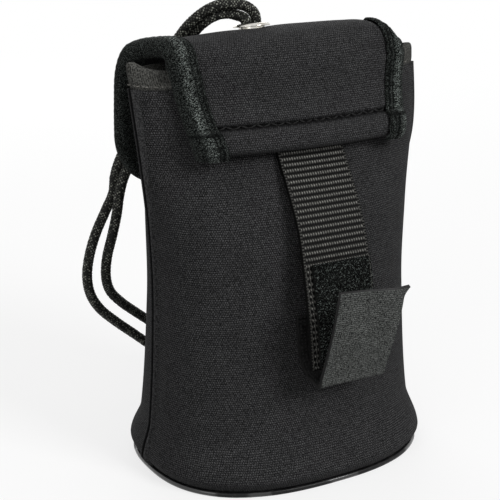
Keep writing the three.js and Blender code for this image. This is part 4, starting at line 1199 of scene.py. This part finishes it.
def loop_finish():
    """The loop tape's ground: dark knit, fuzzed lighter in patches."""
    finish = Finish("loop_tape", Specular_IOR_Level=0.05, Sheen_Weight=0.03, Sheen_Roughness=0.4)
    fuzz = finish.grain(0.45, 4.0).between(0.42, 0.72)
    patch = finish.grain(3.2).between(0.3, 0.7)
    colour = finish.mix(fuzz * (patch * 0.6 + 0.4), LOOP_DARK, LOOP_LIGHT)
    return finish.wear(colour, fuzz * 0.2 + 0.8, fuzz, depth=0.3, strength=0.9)


def pile_finish():
    """The loops themselves: some filaments catch the light, most stay dark."""
    finish = Finish("loop_pile", Specular_IOR_Level=0.1)
    lot = finish.grain(0.6, 2.0).between(0.46, 0.7)
    colour = finish.mix(lot, PILE_DARK, PILE_LIGHT)
    return finish.wear(colour, lot * 0.2 + 0.45)


def hook_finish():
    finish = Finish("hook_plastic", Specular_IOR_Level=0.3)
    lot = finish.grain(0.8).between(0.35, 0.7)
    return finish.wear(finish.mix(lot, HOOK_DARK, HOOK_LIGHT), lot * 0.3 + 0.4)


loop_cloth, loop_pile, hook_plastic = loop_finish(), pile_finish(), hook_finish()


def closure_loops_place(u, v):
    x = (1 - 2 * u) * CLOSURE_HALF_WIDTH
    z = LID_END_Z + CLOSURE_LIFT + v * CLOSURE_HEIGHT
    return x, face_depth("front", x, z, GAP + TAPE), z


def closure_hooks_place(u, v):
    x = (2 * u - 1) * CLOSURE_HALF_WIDTH
    t = 1 - (CLOSURE_LIFT + v * CLOSURE_HEIGHT) / lid_profile.length
    return lid_point(x, t, -GAP - TAPE + 0 * u)


def border_of(surface, inset):
    """A line round a patch, that far in from its edge as a share, with outward directions."""
    low, high = inset, 1 - inset
    places = np.linspace(0, 4, 400)
    corners = (0, 1, 2, 3, 4)
    u = np.interp(places, corners, (low, high, high, low, low))
    v = np.interp(places, corners, (low, low, high, high, low))
    here, side, up = directions(surface, u, v)
    return here, unit(np.cross(side, up))


for name, node, body, surface, field, finish, fibres, slot in (
        ("front_loop_patch", "closure_loop_patch", "pouch", closure_loops_place, pile,
         loop_cloth, loop_pile, "loop_tape"),
        ("flap_hook_patch", "closure_hook_patch", "flap", closure_hooks_place, hooks,
         hook_plastic, hook_plastic, "hook_tape")):
    patch = lay_sheet(name, across=48, along=20, place=surface)
    thicken(patch, TAPE)
    smooth(patch, 50)
    dress(patch, finish)
    tufts = field(name + "_pile", surface, 2 * CLOSURE_HALF_WIDTH, CLOSURE_HEIGHT, seed=3)
    dress(tufts, fibres)
    line, ups = border_of(surface, PATCH_SEAM)
    seam = row_of_stitches(name + "_stitches", line, ups, length=1.8, pitch=2.4, thick=0.4, rise=0.5)
    dress(seam, black_thread)
    for piece in (patch, tufts, seam):
        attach(piece, body)
    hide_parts(node)


# Belt strap. Ribbed nylon webbing is sewn under the hem, hangs down the back and stands off it.
# Its weft shows as rows of light floats between dark warp, and its borders are woven closer.
WEBBING = 1.5
STRAP_X = 2.9
STRAP_WIDTH = 25.4
STRAP_END_Z = 43
STRAP_STANDOFF = 3.2
STRAP_SWAY = 7.8
STRAP_SHARES = (1, 0.755, 0.55, 0.345, 0.17)
PIVOT_Z = HEM_Z - WEBBING / 2 - GAP
ANCHOR_TOP = PIVOT_Z + WEBBING / 2 + GAP + 9
WAIST_Z = 60
ROW_PITCH = 2.0
FLOAT_PITCH = 0.95
WEAVE_SINK = 0.15
SELVAGE = 0.8
WEBBING_DARK, WEBBING_LIGHT = shade(4), shade(182, 181, 175)


def back_depth(x, z, grow=0.0):
    return float(face_depth("back", x, np.array([float(z)]), grow)[0])


def strap_knot(share):
    z = PIVOT_Z + (STRAP_END_Z - PIVOT_Z) * share
    sway = STRAP_SWAY * (share - STRAP_SHARES[-1]) / (1 - STRAP_SHARES[-1])
    return -(back_depth(0, max(z, WAIST_Z)) + STRAP_STANDOFF + sway), z


hanging_knots = [strap_knot(share) for share in STRAP_SHARES]
anchor_knots = [(-back_depth(STRAP_X, z, GAP) - WEBBING / 2, z)
                for z in (PIVOT_Z, PIVOT_Z + 5, ANCHOR_TOP)]
strap_profile = Profile(hanging_knots + anchor_knots)


def on_strap(x, share, stand):
    """A point of the strap: x from its middle, share of its length from the free end up."""
    y, z = strap_profile.at(share, stand)
    held = np.clip((z - WAIST_Z) / (HEM_Z - WAIST_Z), 0, 1) ** 3
    curve = face_depth("back", STRAP_X, z) - face_depth("back", STRAP_X + x, z)
    return STRAP_X + x, y + held * curve, z


def strap_place(u, v):
    return on_strap((u - 0.5) * STRAP_WIDTH, v, WEBBING / 2 - WEAVE_SINK)


def strap_weave(u, v):
    """The same place with the webbing's ribs, and the beads of its borders."""
    x = (u - 0.5) * STRAP_WIDTH
    row = v * strap_profile.length / ROW_PITCH
    rib = np.sin(np.pi * (row % 1)) ** 2
    dot = 0.5 + 0.5 * np.cos(2 * np.pi * (x / FLOAT_PITCH + 0.5 * np.floor(row)))
    ribs = 0.06 + 0.3 * rib * (0.7 + 0.3 * dot)
    beads = 0.14 + 0.05 * np.cos(2 * np.pi * row * 2)
    relief = np.where(np.abs(x) > STRAP_WIDTH / 2 - SELVAGE, beads, ribs)
    return on_strap(x, v, WEBBING / 2 - WEAVE_SINK + relief)


def webbing_finish():
    """Ribbed webbing: light floats lie in offset rows on black, and its borders are beaded."""
    finish = Finish("ribbed_webbing", Specular_IOR_Level=0.1)
    across, along = finish.cloth()
    row = along / ROW_PITCH
    rib = (row.share() * math.pi).sine() ** 4.5
    lean = row.share() * 0.5
    dot = ((across / FLOAT_PITCH + row.floor() * 0.5 + lean) * (2 * math.pi)).sine() * 0.5 + 0.5
    yarn = finish.grain(0.35, 2.0).between(0.3, 0.7)
    floats = rib * (dot ** 2 * 0.9 + 0.1) + dot * 0.01
    edge = across.size() > STRAP_WIDTH / 2 - SELVAGE
    inside = across.size() < STRAP_WIDTH / 2 - 0.05
    beads = ((row * 2).share() * math.pi).sine() ** 4 * 0.3
    level = (floats * (1 - edge) + beads * edge) * inside * (yarn * 0.75 + 0.25)
    colour = finish.mix(level, WEBBING_DARK, WEBBING_LIGHT)
    return finish.wear(colour, yarn * 0.3 + 0.6, yarn, depth=0.06, strength=0.5)


STRAP_ACROSS, STRAP_ALONG = 108, 300
strap = lay_sheet("belt_strap_webbing", STRAP_ACROSS, STRAP_ALONG, strap_place, strap_weave)
thicken(strap, WEBBING)
smooth(strap, 60)
dress(strap, webbing_finish())
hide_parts("strap", "strap_anchor")
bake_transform(strap)


# Strap's loop patch. Loop tape is laid over the strap's lower half and sewn down along both
# borders with grey thread, in two columns on the strap's own edge and one on the tape's.
PATCH_TOP = 76
PATCH_WIDTH = 22.4
PATCH_X = (STRAP_WIDTH - PATCH_WIDTH) / 2 - 0.4
PATCH_END = 0.6
EDGE_COLUMNS = {"outer": 0.5, "inner": 1.9}
PATCH_COLUMN = 0.7
patch_from = PATCH_END / strap_profile.length
patch_to = (PATCH_TOP - STRAP_END_Z) / (ANCHOR_TOP - STRAP_END_Z)


def strap_patch_place(u, v):
    share = patch_from + (patch_to - patch_from) * v
    return on_strap(PATCH_X + (u - 0.5) * PATCH_WIDTH, share, WEBBING / 2 + GAP + TAPE)


def up_strap(x, lift):
    """A line up the strap at x from its middle, lifted that far off the webbing's middle plane."""
    def at(share, stand):
        return on_strap(np.full_like(share, x), share, lift + stand)

    return at


patch_length = (patch_to - patch_from) * strap_profile.length
strap_patch = lay_sheet("strap_loop_tape", across=40, along=64, place=strap_patch_place)
thicken(strap_patch, TAPE)
smooth(strap_patch, 50)
dress(strap_patch, loop_cloth)
strap_pile = pile("strap_loop_pile", strap_patch_place, PATCH_WIDTH, patch_length, seed=5)
dress(strap_pile, loop_pile)
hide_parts("strap_loop_patch")

strap_columns = []
for name, inset in EDGE_COLUMNS.items():
    on_edge = up_strap(-STRAP_WIDTH / 2 + inset, WEBBING / 2 + 0.1)
    line, ups = lay_line(on_edge, patch_from, patch_to)
    strap_columns.append(row_of_stitches(
        f"strap_edge_stitches_{name}", line, ups,
        length=0.8, pitch=0.95, thick=0.32, rise=0.2, slant=0.25))
on_tape = up_strap(PATCH_X + PATCH_WIDTH / 2 - PATCH_COLUMN, WEBBING / 2 + GAP + TAPE)
line, ups = lay_line(on_tape, patch_from, patch_to)
strap_columns.append(row_of_stitches(
    "strap_patch_stitches", line, ups, length=1.0, pitch=1.3, thick=0.4, rise=0.4, slant=0.3))
grey_thread = thread_finish("thread_grey", shade(16), shade(104, 104, 100))
for piece in strap_columns:
    dress(piece, grey_thread)
strap_parts = [strap_patch, strap_pile, *strap_columns]
for piece in strap_parts:
    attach(piece, "belt_strap")


# Hook tab. One piece of hook tape is sewn to the back behind the strap's end, runs out under it,
# folds up over it and is peeled part open. Outside it shows its woven back, inside its hooks.
TAB_WIDTH = 25
TAB_ANCHOR_TOP = 59
TAB_SEWN_TO = 52
TAB_ANCHOR_BOTTOM = 46
TAB_PIVOT = (-44.6, 37.6)
TAB_LENGTH = 37
TAB_BOW = 0.9
TAB_LEAN = math.radians(16)
TAB_FOLD_REACH = 3.45
TIP_REACH, TIP_BACK, TIP_RISE = 1.4, 0.8, 0.6
TIP_FROM = 0.94
TAB_WAVE = 0.25
TAB_LIFT = 1.8
TAB_LIFT_FROM = 0.22
TAB_ASKEW = 2.6
TAB_PICK = 0.78
TAB_SEAM_HALF_WIDTH = 11.5
TAB_ACROSS = 48
TAB_DARK, TAB_LIGHT = shade(12, 13, 13), shade(146, 149, 146)


def tab_knot(side, up):
    """A point of the leaf, from its own frame on the fold line to the YZ plane."""
    return (TAB_PIVOT[0] + side * math.cos(TAB_LEAN) - up * math.sin(TAB_LEAN),
            TAB_PIVOT[1] + side * math.sin(TAB_LEAN) + up * math.cos(TAB_LEAN))


on_panel = [(-back_depth(STRAP_X, z) - 2 * GAP - TAPE / 2, z) for z in (TAB_ANCHOR_TOP, TAB_SEWN_TO)]
run_out = [(-back_depth(STRAP_X, TAB_ANCHOR_BOTTOM) - 2 * GAP - TAPE / 2 - 0.4, TAB_ANCHOR_BOTTOM),
           (TAB_PIVOT[0] + 9, TAB_PIVOT[1] + 2.4), (TAB_PIVOT[0] + 2.6, TAB_PIVOT[1] + 0.1)]
fold = [tab_knot(0.55, -0.1), tab_knot(0.05, 0.9), tab_knot(0, TAB_FOLD_REACH)]
leaf_knots = [
    tab_knot(-0.5, 10), tab_knot(-TAB_BOW, TAB_LENGTH / 2), tab_knot(-0.6, 29), tab_knot(0, TAB_LENGTH)]
tab_profile = Profile(on_panel + run_out + fold + leaf_knots)
fold_end = np.argmin(np.hypot(*(tab_profile.line - np.array(fold[-1])).T))
fold_share = tab_profile.run[fold_end] / tab_profile.length


def on_tab(x, share, stand):
    """A point of the tape. Its leaf is wavy and askew, and its top right corner is pulled to a tip."""
    y, z = tab_profile.at(share, stand)
    right = np.clip(x / (TAB_WIDTH / 2), 0, 1) ** 6
    top = np.clip((share - TIP_FROM) / (1 - TIP_FROM), 0, 1) ** 2
    wave = TAB_WAVE * np.sin(x * 0.31 + share * 9) * np.clip((share - fold_share) * 4, 0, 1)
    up_leaf = np.clip((share - fold_share) / (1 - fold_share), 0, 1)
    lift = TAB_LIFT * np.clip((share - TAB_LIFT_FROM) / (fold_share - TAB_LIFT_FROM), 0, 1)
    askew = TAB_ASKEW * up_leaf * (x / TAB_WIDTH + 0.5)
    tip = right * top
    return STRAP_X + x + TIP_REACH * tip, y + wave - TIP_BACK * tip, z + lift - askew + TIP_RISE * tip


def tape_strip(first, last, stand):
    """A stretch of the tape, between two shares of its length."""
    def place(u, v):
        return on_tab((u - 0.5) * TAB_WIDTH, first + (last - first) * v, stand)

    return place


def across_tab(share):
    """A line across the tape's hook side, which here faces the strap."""
    def at(x, stand):
        return on_tab(x, np.full_like(x, share), -TAPE / 2 - 0.1 - stand)

    return at


def woven_back_finish():
    """The tape's woven back: fine weft rows with light specks."""
    finish = Finish("hook_tape_back", Specular_IOR_Level=0.1)
    across, along = finish.cloth()
    weft = ((along / TAB_PICK).share() * math.pi).sine()
    pick = finish.grain(0.38, 1.0).between(0.42, 0.6)
    speck = finish.grain(0.34, 1.0).between(0.46, 0.6)
    cloud = finish.grain(4.5).between(0.3, 0.7)
    level = weft * pick * 0.62 + speck * 0.26 + cloud * 0.04
    colour = finish.mix(level, TAB_DARK, TAB_LIGHT)
    return finish.wear(colour, speck * 0.2 + 0.75, level)


woven_back = woven_back_finish()
TAB_PARTS = (("tab_base", ("tab_anchor", "tab_fold"), 0.0, fold_share, 60),
             ("tab_leaf_tape", ("tab_leaf",), fold_share, 1.0, 72))
tab_pieces = {}
for name, nodes, first, last, steps in TAB_PARTS:
    tape = lay_sheet(name, TAB_ACROSS, steps, tape_strip(first, last, TAPE / 2))
    tape.data.materials.append(woven_back.material)
    tape.data.materials.append(hook_plastic.material)
    apply_modifier(tape, "SOLIDIFY", thickness=TAPE * MM, offset=-1.0,
                   material_offset=1, material_offset_rim=1)
    smooth(tape, 50)
    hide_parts(*nodes)
    length = (last - first) * tab_profile.length
    inside = tape_strip(last, first, -TAPE / 2)
    field = hooks(name + "_hooks", inside, TAB_WIDTH - 2, length, seed=7)
    dress(field, hook_plastic)
    tab_pieces[name] = [tape, field]

sewn_run = slice(0, 200)
for z in (TAB_ANCHOR_TOP - 1.5, TAB_SEWN_TO + 1):
    run = np.interp(-z, -tab_profile.line[sewn_run, 1], tab_profile.run[sewn_run])
    seam_line = across_tab(run / tab_profile.length)
    line, ups = lay_line(seam_line, -TAB_SEAM_HALF_WIDTH, TAB_SEAM_HALF_WIDTH)
    seam = row_of_stitches(
        f"tab_stitches_{round(z)}", line, ups, length=1.8, pitch=2.4, thick=0.45, rise=0.4)
    dress(seam, black_thread)
    tab_pieces["tab_base"].append(seam)

for piece in tab_pieces["tab_base"]:
    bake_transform(piece)
for piece in tab_pieces["tab_leaf_tape"]:
    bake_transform(piece)
for name, nodes, first, last, steps in TAB_PARTS:
    tape, *others = tab_pieces[name]
    tape_flat = (TAB_WIDTH * MM, (last - first) * tab_profile.length * MM)
    under_it = "back_shell" if name == "tab_base" else "tab_base"


# Eyelet. A two-part nickel-plated eyelet is set through the flap: its rolled flange lies on the
# cloth's outer face and a flat washer backs it inside.
EYELET_HOLE = 3.8
EYELET_FLANGE = 6.3
EYELET_FACE = 3.35
EYELET_ROLL = 1.05
WASHER_BOTTOM = -1.2
WASHER_TOP = -0.3
WASHER_CHAMFER = 0.2
ROLL_STEPS = 14
NICKEL_DARK, NICKEL_LIGHT = shade(176, 172, 162), shade(212, 210, 204)


def turned_round(profile):
    """A closed profile of radius and height, turned about the eyelet's axis."""
    outline = np.array(profile + profile[:1], float)
    run = run_along(outline)

    def place(u, v):
        radius = np.interp(v * run[-1], run, outline[:, 0])
        height = np.interp(v * run[-1], run, outline[:, 1])
        x = EYELET_SEAT.x + radius * np.cos(u * 2 * np.pi)
        side = radius * np.sin(u * 2 * np.pi)
        y = EYELET_SEAT.y + side * EYELET_AXIS.z + height * EYELET_AXIS.y
        z = EYELET_SEAT.z - side * EYELET_AXIS.y + height * EYELET_AXIS.z
        return x, y, z

    return place


def roll_point(angle):
    """A point of the flange's rolled face, from its rim over to the hole."""
    radius = EYELET_HOLE + (EYELET_FLANGE - EYELET_HOLE) * (1 + math.cos(angle)) / 2
    return radius, EYELET_FACE + EYELET_ROLL * math.sin(angle)


roll = [roll_point(math.pi * i / ROLL_STEPS) for i in range(ROLL_STEPS + 1)]
eyelet_profile = [
    (EYELET_HOLE, WASHER_BOTTOM), (EYELET_BARREL, WASHER_BOTTOM), (EYELET_BARREL, EYELET_FACE), *roll]
washer_profile = [
    (EYELET_BARREL, WASHER_BOTTOM), (EYELET_FLANGE - WASHER_CHAMFER, WASHER_BOTTOM),
    (EYELET_FLANGE, WASHER_BOTTOM + WASHER_CHAMFER), (EYELET_FLANGE, WASHER_TOP),
    (EYELET_BARREL, WASHER_TOP)]


def nickel_finish():
    finish = Finish("nickel_plate", Metallic=1.0)
    scuff = finish.grain(0.5, 4.0)
    cloud = finish.grain(3.0)
    colour = finish.mix(cloud.between(0.3, 0.7), NICKEL_DARK, NICKEL_LIGHT)
    roughness = scuff.between(0.45, 0.75) * 0.12 + 0.18
    return finish.wear(colour, roughness, cloud, depth=0.01, strength=0.2)


nickel = nickel_finish()
for name, node, profile in (("eyelet_flange", "eyelet", eyelet_profile),
                            ("eyelet_backing", "eyelet_washer", washer_profile)):
    ring = lay_sheet(name, across=64, along=60, place=turned_round(profile))
    close_round(ring)
    smooth(ring, 35)
    dress(ring, nickel)
    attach(ring, "flap")
    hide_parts(node)


# Neck cord. One braided nylon cord of 3.5 mm: both ends go through the eyelet, its doubled part
# arches to the left over the flap and lies down the front, and what the photograph doesn't show
# of it is coiled behind the pouch. The coil is held by a woven tie.
CORD = 3.5
CORD_RADIUS = CORD / 2
STRAND_OFFSET = 1.9
STRAND_HEIGHTS = (-2.2, 3.5, 4.7)
COIL_MIDDLE = Vector((26, 73, 0))
COIL_RADIUS = 24
COIL_PITCH = 4.05
COIL_LOW = 2.85
LOWER_TURNS = 1.75
CLIMB_TURNS = 0.5
TOTAL_TURNS = 3.75
COIL_STEPS = 24
RING_STEP = 0.42
CORD_SIDES = 24
ROUTE_STEPS = 10


def coil_point(turns):
    climb = min(max((turns - LOWER_TURNS) / CLIMB_TURNS, 0), 1)
    inwards = min(turns, 2 * LOWER_TURNS + CLIMB_TURNS - turns)
    radius = COIL_RADIUS - COIL_PITCH * inwards
    angle = -math.pi / 2 + turns * 2 * math.pi
    z = COIL_LOW + COIL_PITCH * climb * climb * (3 - 2 * climb)
    return COIL_MIDDLE + Vector((radius * math.cos(angle), radius * math.sin(angle), z))


def through_eyelet(side):
    return [EYELET_SEAT + EYELET_AXIS * height + Vector((side * STRAND_OFFSET, 0, 0))
            for height in STRAND_HEIGHTS]


turn_count = round(TOTAL_TURNS * COIL_STEPS)
coil_points = [coil_point(i / turn_count * TOTAL_TURNS) for i in range(turn_count + 1)]
coil_in = coil_points[0] + Vector((-CORD, 0, 0))
coil_out = coil_points[-1] + Vector((0, -CORD, 0))
outer_route = through_eyelet(1) + [Vector(p) for p in (
    (-4.6, 7.6, 153.9), (-7.4, 8, 156.4), (-12, 8.2, 157.5), (-16.4, 8.6, 157.6), (-20.6, 9.8, 156.2),
    (-23.9, 11.8, 153.6), (-26.2, 14.8, 150.2), (-27.9, 18.4, 145.8), (-29.6, 21.8, 140.4),
    (-31.6, 24.2, 134.2), (-34, 26.2, 127.4), (-36.9, 28.3, 119.6), (-40.4, 30.4, 111.2),
    (-44, 32.6, 103.6), (-45.6, 34.2, 97), (-46.2, 34.7, 91), (-49.4, 34.9, 84.6), (-53.2, 35.1, 77),
    (-55.6, 35.9, 69), (-56.2, 37.4, 61), (-54.2, 40, 53), (-49.4, 43, 45.4), (-42, 45.8, 38),
    (-33.4, 47.8, 30.4), (-24.4, 48.9, 22.4), (-15.4, 49.2, 14.6), (-6.2, 49.1, 8), (4, 49, 4))]
outer_route += [coil_in + Vector((-2 * CORD, 0, 0))]
inner_route = through_eyelet(-1) + [Vector(p) for p in (
    (-8.4, 7.8, 152.6), (-10.2, 9.5, 153.5), (-13, 10.4, 154.2), (-16.4, 11, 154), (-19.4, 12, 152.7),
    (-21.5, 13.9, 150.6), (-22.9, 16.3, 147.9), (-24, 19.2, 144.3), (-25.3, 21.7, 139.7),
    (-27.4, 23.6, 133.8), (-29.9, 25, 127.1), (-33, 26.6, 119), (-36.8, 28.4, 110.4), (-41.2, 29.6, 103),
    (-44.2, 30.1, 97), (-45.8, 30.5, 91), (-46.8, 31, 84), (-48.4, 32, 76), (-49.8, 33.8, 68),
    (-49.4, 36.4, 60), (-46.6, 39.8, 53), (-41, 43.6, 46.6), (-33.6, 47, 40), (-25.2, 49.8, 33),
    (-16.6, 52, 26), (-9, 54, 19.4), (-2.6, 56.6, 13.6), (1.4, 60.4, 9.4))]


def smooth_route(points):
    """A centripetal curve through the points, in steps that are small next to the cord."""
    ends = [points[0] * 2 - points[1], *points, points[-1] * 2 - points[-2]]
    smoothed = []
    for a, b, c, d in zip(ends, ends[1:], ends[2:], ends[3:]):
        knots = [0.0]
        for first, second in ((a, b), (b, c), (c, d)):
            knots.append(knots[-1] + max((second - first).length, 1e-6) ** 0.5)
        for i in range(ROUTE_STEPS):
            t = knots[1] + (knots[2] - knots[1]) * i / ROUTE_STEPS
            near = [p * ((knots[k + 1] - t) / (knots[k + 1] - knots[k]))
                    + q * ((t - knots[k]) / (knots[k + 1] - knots[k]))
                    for k, (p, q) in enumerate(((a, b), (b, c), (c, d)))]
            wide = [near[k] * ((knots[k + 2] - t) / (knots[k + 2] - knots[k]))
                    + near[k + 1] * ((t - knots[k]) / (knots[k + 2] - knots[k])) for k in (0, 1)]
            smoothed.append(wide[0] * ((knots[2] - t) / (knots[2] - knots[1]))
                            + wide[1] * ((t - knots[1]) / (knots[2] - knots[1])))
    return smoothed + [points[-1]]


def even_steps(points, step):
    """The same line in even steps, as an array."""
    line = np.array([p[:] for p in points], float)
    run = run_along(line)
    places = np.linspace(0, run[-1], round(run[-1] / step) + 1)
    return np.stack([np.interp(places, run, line[:, k]) for k in range(3)], axis=1), run[-1]


cord_line = smooth_route([*outer_route, coil_in, *coil_points, coil_out, *reversed(inner_route)])
cord_centres, CORD_LENGTH = even_steps(cord_line, RING_STEP)


def frames_along(centres):
    """Two directions square to the line at each of its points, carried along without twist."""
    tangents = unit(np.gradient(centres, axis=0))
    across = np.zeros_like(centres)
    across[0] = np.cross(tangents[0], (0, 0, 1)) + np.array((1e-6, 0, 0))
    for i in range(len(centres)):
        carried = across[max(i - 1, 0)]
        carried = carried - tangents[i] * np.dot(carried, tangents[i])
        across[i] = carried / np.linalg.norm(carried)
    return across, np.cross(tangents, across)


BRAID_STRANDS = 8
BRAID_PITCH = 9.0
BRAID_RELIEF = 0.26
BRAID_DARK, BRAID_LIGHT, BRAID_GLINT = shade(5), shade(36, 37, 34), shade(190, 192, 180)


def tube(centres, radius):
    """A round tube along the centres, whose radius at (u, v) is a function of both."""
    across, over = frames_along(centres)

    def place(u, v):
        ring = np.rint(v * (len(centres) - 1)).astype(int)
        angle = u * 2 * np.pi
        spoke = np.cos(angle)[:, None] * across[ring] + np.sin(angle)[:, None] * over[ring]
        return (centres[ring] + radius(u, v)[:, None] * spoke).T

    return place


def even_radius(radius):
    """A plain round section of the same radius everywhere."""
    def at(u, v):
        return np.full_like(u, radius)

    return at


def braid_radius(length, radius):
    """The braid: two sets of strands that run round opposite ways and pass over and under."""
    def at(u, v):
        right = BRAID_STRANDS * (u + v * length / BRAID_PITCH)
        left = BRAID_STRANDS * (u - v * length / BRAID_PITCH)
        over = (np.floor(right) + np.floor(left)) % 2 < 1
        hump = np.where(over, np.sin(np.pi * (right % 1)), np.sin(np.pi * (left % 1)))
        return radius + BRAID_RELIEF * (1.5 * np.abs(hump) - 1)

    return at


def braid_finish():
    """Black braid with a painted highlight on the middle of some floats."""
    finish = Finish("cord_braid", Specular_IOR_Level=0.15)
    across, along = finish.cloth()
    turn = across / (2 * math.pi * CORD_RADIUS)
    right = (turn + along / BRAID_PITCH) * BRAID_STRANDS
    left = (turn - along / BRAID_PITCH) * BRAID_STRANDS
    over = ((right.floor() + left.floor()) * 0.5).share() < 0.25
    strand = finish.add("ShaderNodeMix", {"data_type": "FLOAT"}, {0: over, 2: left, 3: right})
    slide = finish.add("ShaderNodeMix", {"data_type": "FLOAT"}, {0: over, 2: right, 3: left})
    crown = (strand.share() * math.pi).sine()
    yarns = ((strand.share() * 3 + slide.share()) * 2 * math.pi).sine() * 0.5 + 0.5
    lot = finish.grain(1.0, 1.0).between(0.46, 0.62)
    # Painted highlight: a light glint on the middle of some floats.
    shine = crown ** 4 * (slide.share() * math.pi).sine() * lot
    body = finish.mix(crown * (yarns * 0.6 + 0.4), BRAID_DARK, BRAID_LIGHT)
    colour = finish.mix(shine, body, BRAID_GLINT)
    relief = crown * 0.6 + yarns * crown * 0.4
    return finish.wear(colour, 0.65 - crown * 0.15, relief, depth=0.16, strength=0.9)


cord = lay_sheet("neck_cord", CORD_SIDES, len(cord_centres) - 1,
                 tube(cord_centres, even_radius(CORD_RADIUS)),
                 tube(cord_centres, braid_radius(CORD_LENGTH, CORD_RADIUS)))
close_round(cord)
only(cord)
bpy.ops.object.mode_set(mode="EDIT")
bpy.ops.mesh.select_mode(type="EDGE")
bpy.ops.mesh.select_all(action="DESELECT")
bpy.ops.mesh.select_non_manifold(extend=False)
bpy.ops.mesh.edge_face_add()
bpy.ops.mesh.select_all(action="SELECT")
bpy.ops.mesh.normals_make_consistent(inside=False)
bpy.ops.object.mode_set(mode="OBJECT")
smooth(cord, 60)
cord_finish = braid_finish()
dress(cord, cord_finish)
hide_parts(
    "cord_arch_outer", "cord_arch_inner", "cord_fall_outer", "cord_fall_inner", "cord_coil")


# Knot. The cord's two ends are tied together under the eyelet, inside the flap, in a small
# round stopper knot that can't pass the hole.
KNOT_DEPTH = -4.8
KNOT_SPREAD = 1.08
KNOT_HEIGHT = 0.95
KNOT_CORD = 1.25
KNOT_STEPS = 90
KNOT_SIDES = 16
KNOT_RING_STEP = 0.5
knot_middle = EYELET_SEAT + EYELET_AXIS * KNOT_DEPTH
tilt = Vector((0, 0, 1)).rotation_difference(EYELET_AXIS)


def knot_point(turn):
    """A point of a trefoil, the closed line of a simple overhand knot."""
    across = KNOT_SPREAD * (math.sin(turn) + 2 * math.sin(2 * turn))
    along = KNOT_SPREAD * (math.cos(turn) - 2 * math.cos(2 * turn))
    return knot_middle + tilt @ Vector((across, along, -KNOT_HEIGHT * math.sin(3 * turn)))


knot_line = [knot_point(2 * math.pi * i / KNOT_STEPS) for i in range(KNOT_STEPS + 1)]
knot_centres, KNOT_LENGTH = even_steps(knot_line, KNOT_RING_STEP)
knot = lay_sheet("stopper_knot", KNOT_SIDES, len(knot_centres) - 1,
                 tube(knot_centres, even_radius(KNOT_CORD)),
                 tube(knot_centres, braid_radius(KNOT_LENGTH, KNOT_CORD)))
close_round(knot)
smooth(knot, 60)
dress(knot, cord_finish)
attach(knot, "flap")
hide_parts("cord_knot")


# Coil tie. A short woven tape is wrapped once round the coil's turns and sewn to itself, so that
# they stay together.
TIE = 0.7
TIE_WIDTH = 5
TIE_TURN = math.radians(36)
TIE_INNER = (13.85, 0.8)
TIE_OUTER = (26.05, 8.95)
TIE_ROUNDNESS = 0.45
TIE_PITCH = 1.0
TIE_DARK, TIE_LIGHT = shade(30), shade(66, 68, 66)


def tie_surface(u, v):
    angle = v * 2 * np.pi
    middle = [(low + high) / 2 for low, high in zip(TIE_INNER, TIE_OUTER)]
    reach = [(high - low) / 2 + TIE for low, high in zip(TIE_INNER, TIE_OUTER)]
    radial = middle[0] + reach[0] * squared_off(np.cos(angle), TIE_ROUNDNESS)
    z = middle[1] + reach[1] * squared_off(np.sin(angle), TIE_ROUNDNESS)
    side = (u - 0.5) * TIE_WIDTH
    x = COIL_MIDDLE.x + radial * math.cos(TIE_TURN) - side * math.sin(TIE_TURN)
    y = COIL_MIDDLE.y + radial * math.sin(TIE_TURN) + side * math.cos(TIE_TURN)
    return x, y, z


def tie_finish():
    """Plain weave: each crossing is one yarn over or under, and some yarns are lighter."""
    finish = Finish("tie_tape", Roughness=0.85, Specular_IOR_Level=0.3)
    across, along = finish.cloth()
    over = ((across / TIE_PITCH).floor() + (along / TIE_PITCH).floor()) * 0.5
    weave = over.share() < 0.25
    wave = 2 * math.pi / TIE_PITCH
    bump = (across * wave).sine() * (along * wave).sine()
    fleck = finish.grain(0.9).between(0.35, 0.7)
    colour = finish.mix(weave * 0.35 + fleck * 0.65, TIE_DARK, TIE_LIGHT)
    return finish.wear(colour, fleck * 0.2 + 0.75, bump * 0.5 + weave * 0.5, depth=0.12)


tie = lay_sheet("coil_tie", across=8, along=96, place=tie_surface)
close_round(tie)
thicken(tie, TIE)
smooth(tie, 50)
dress(tie, tie_finish())
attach(tie, "pouch")
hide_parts("cord_tie")

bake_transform(cord)
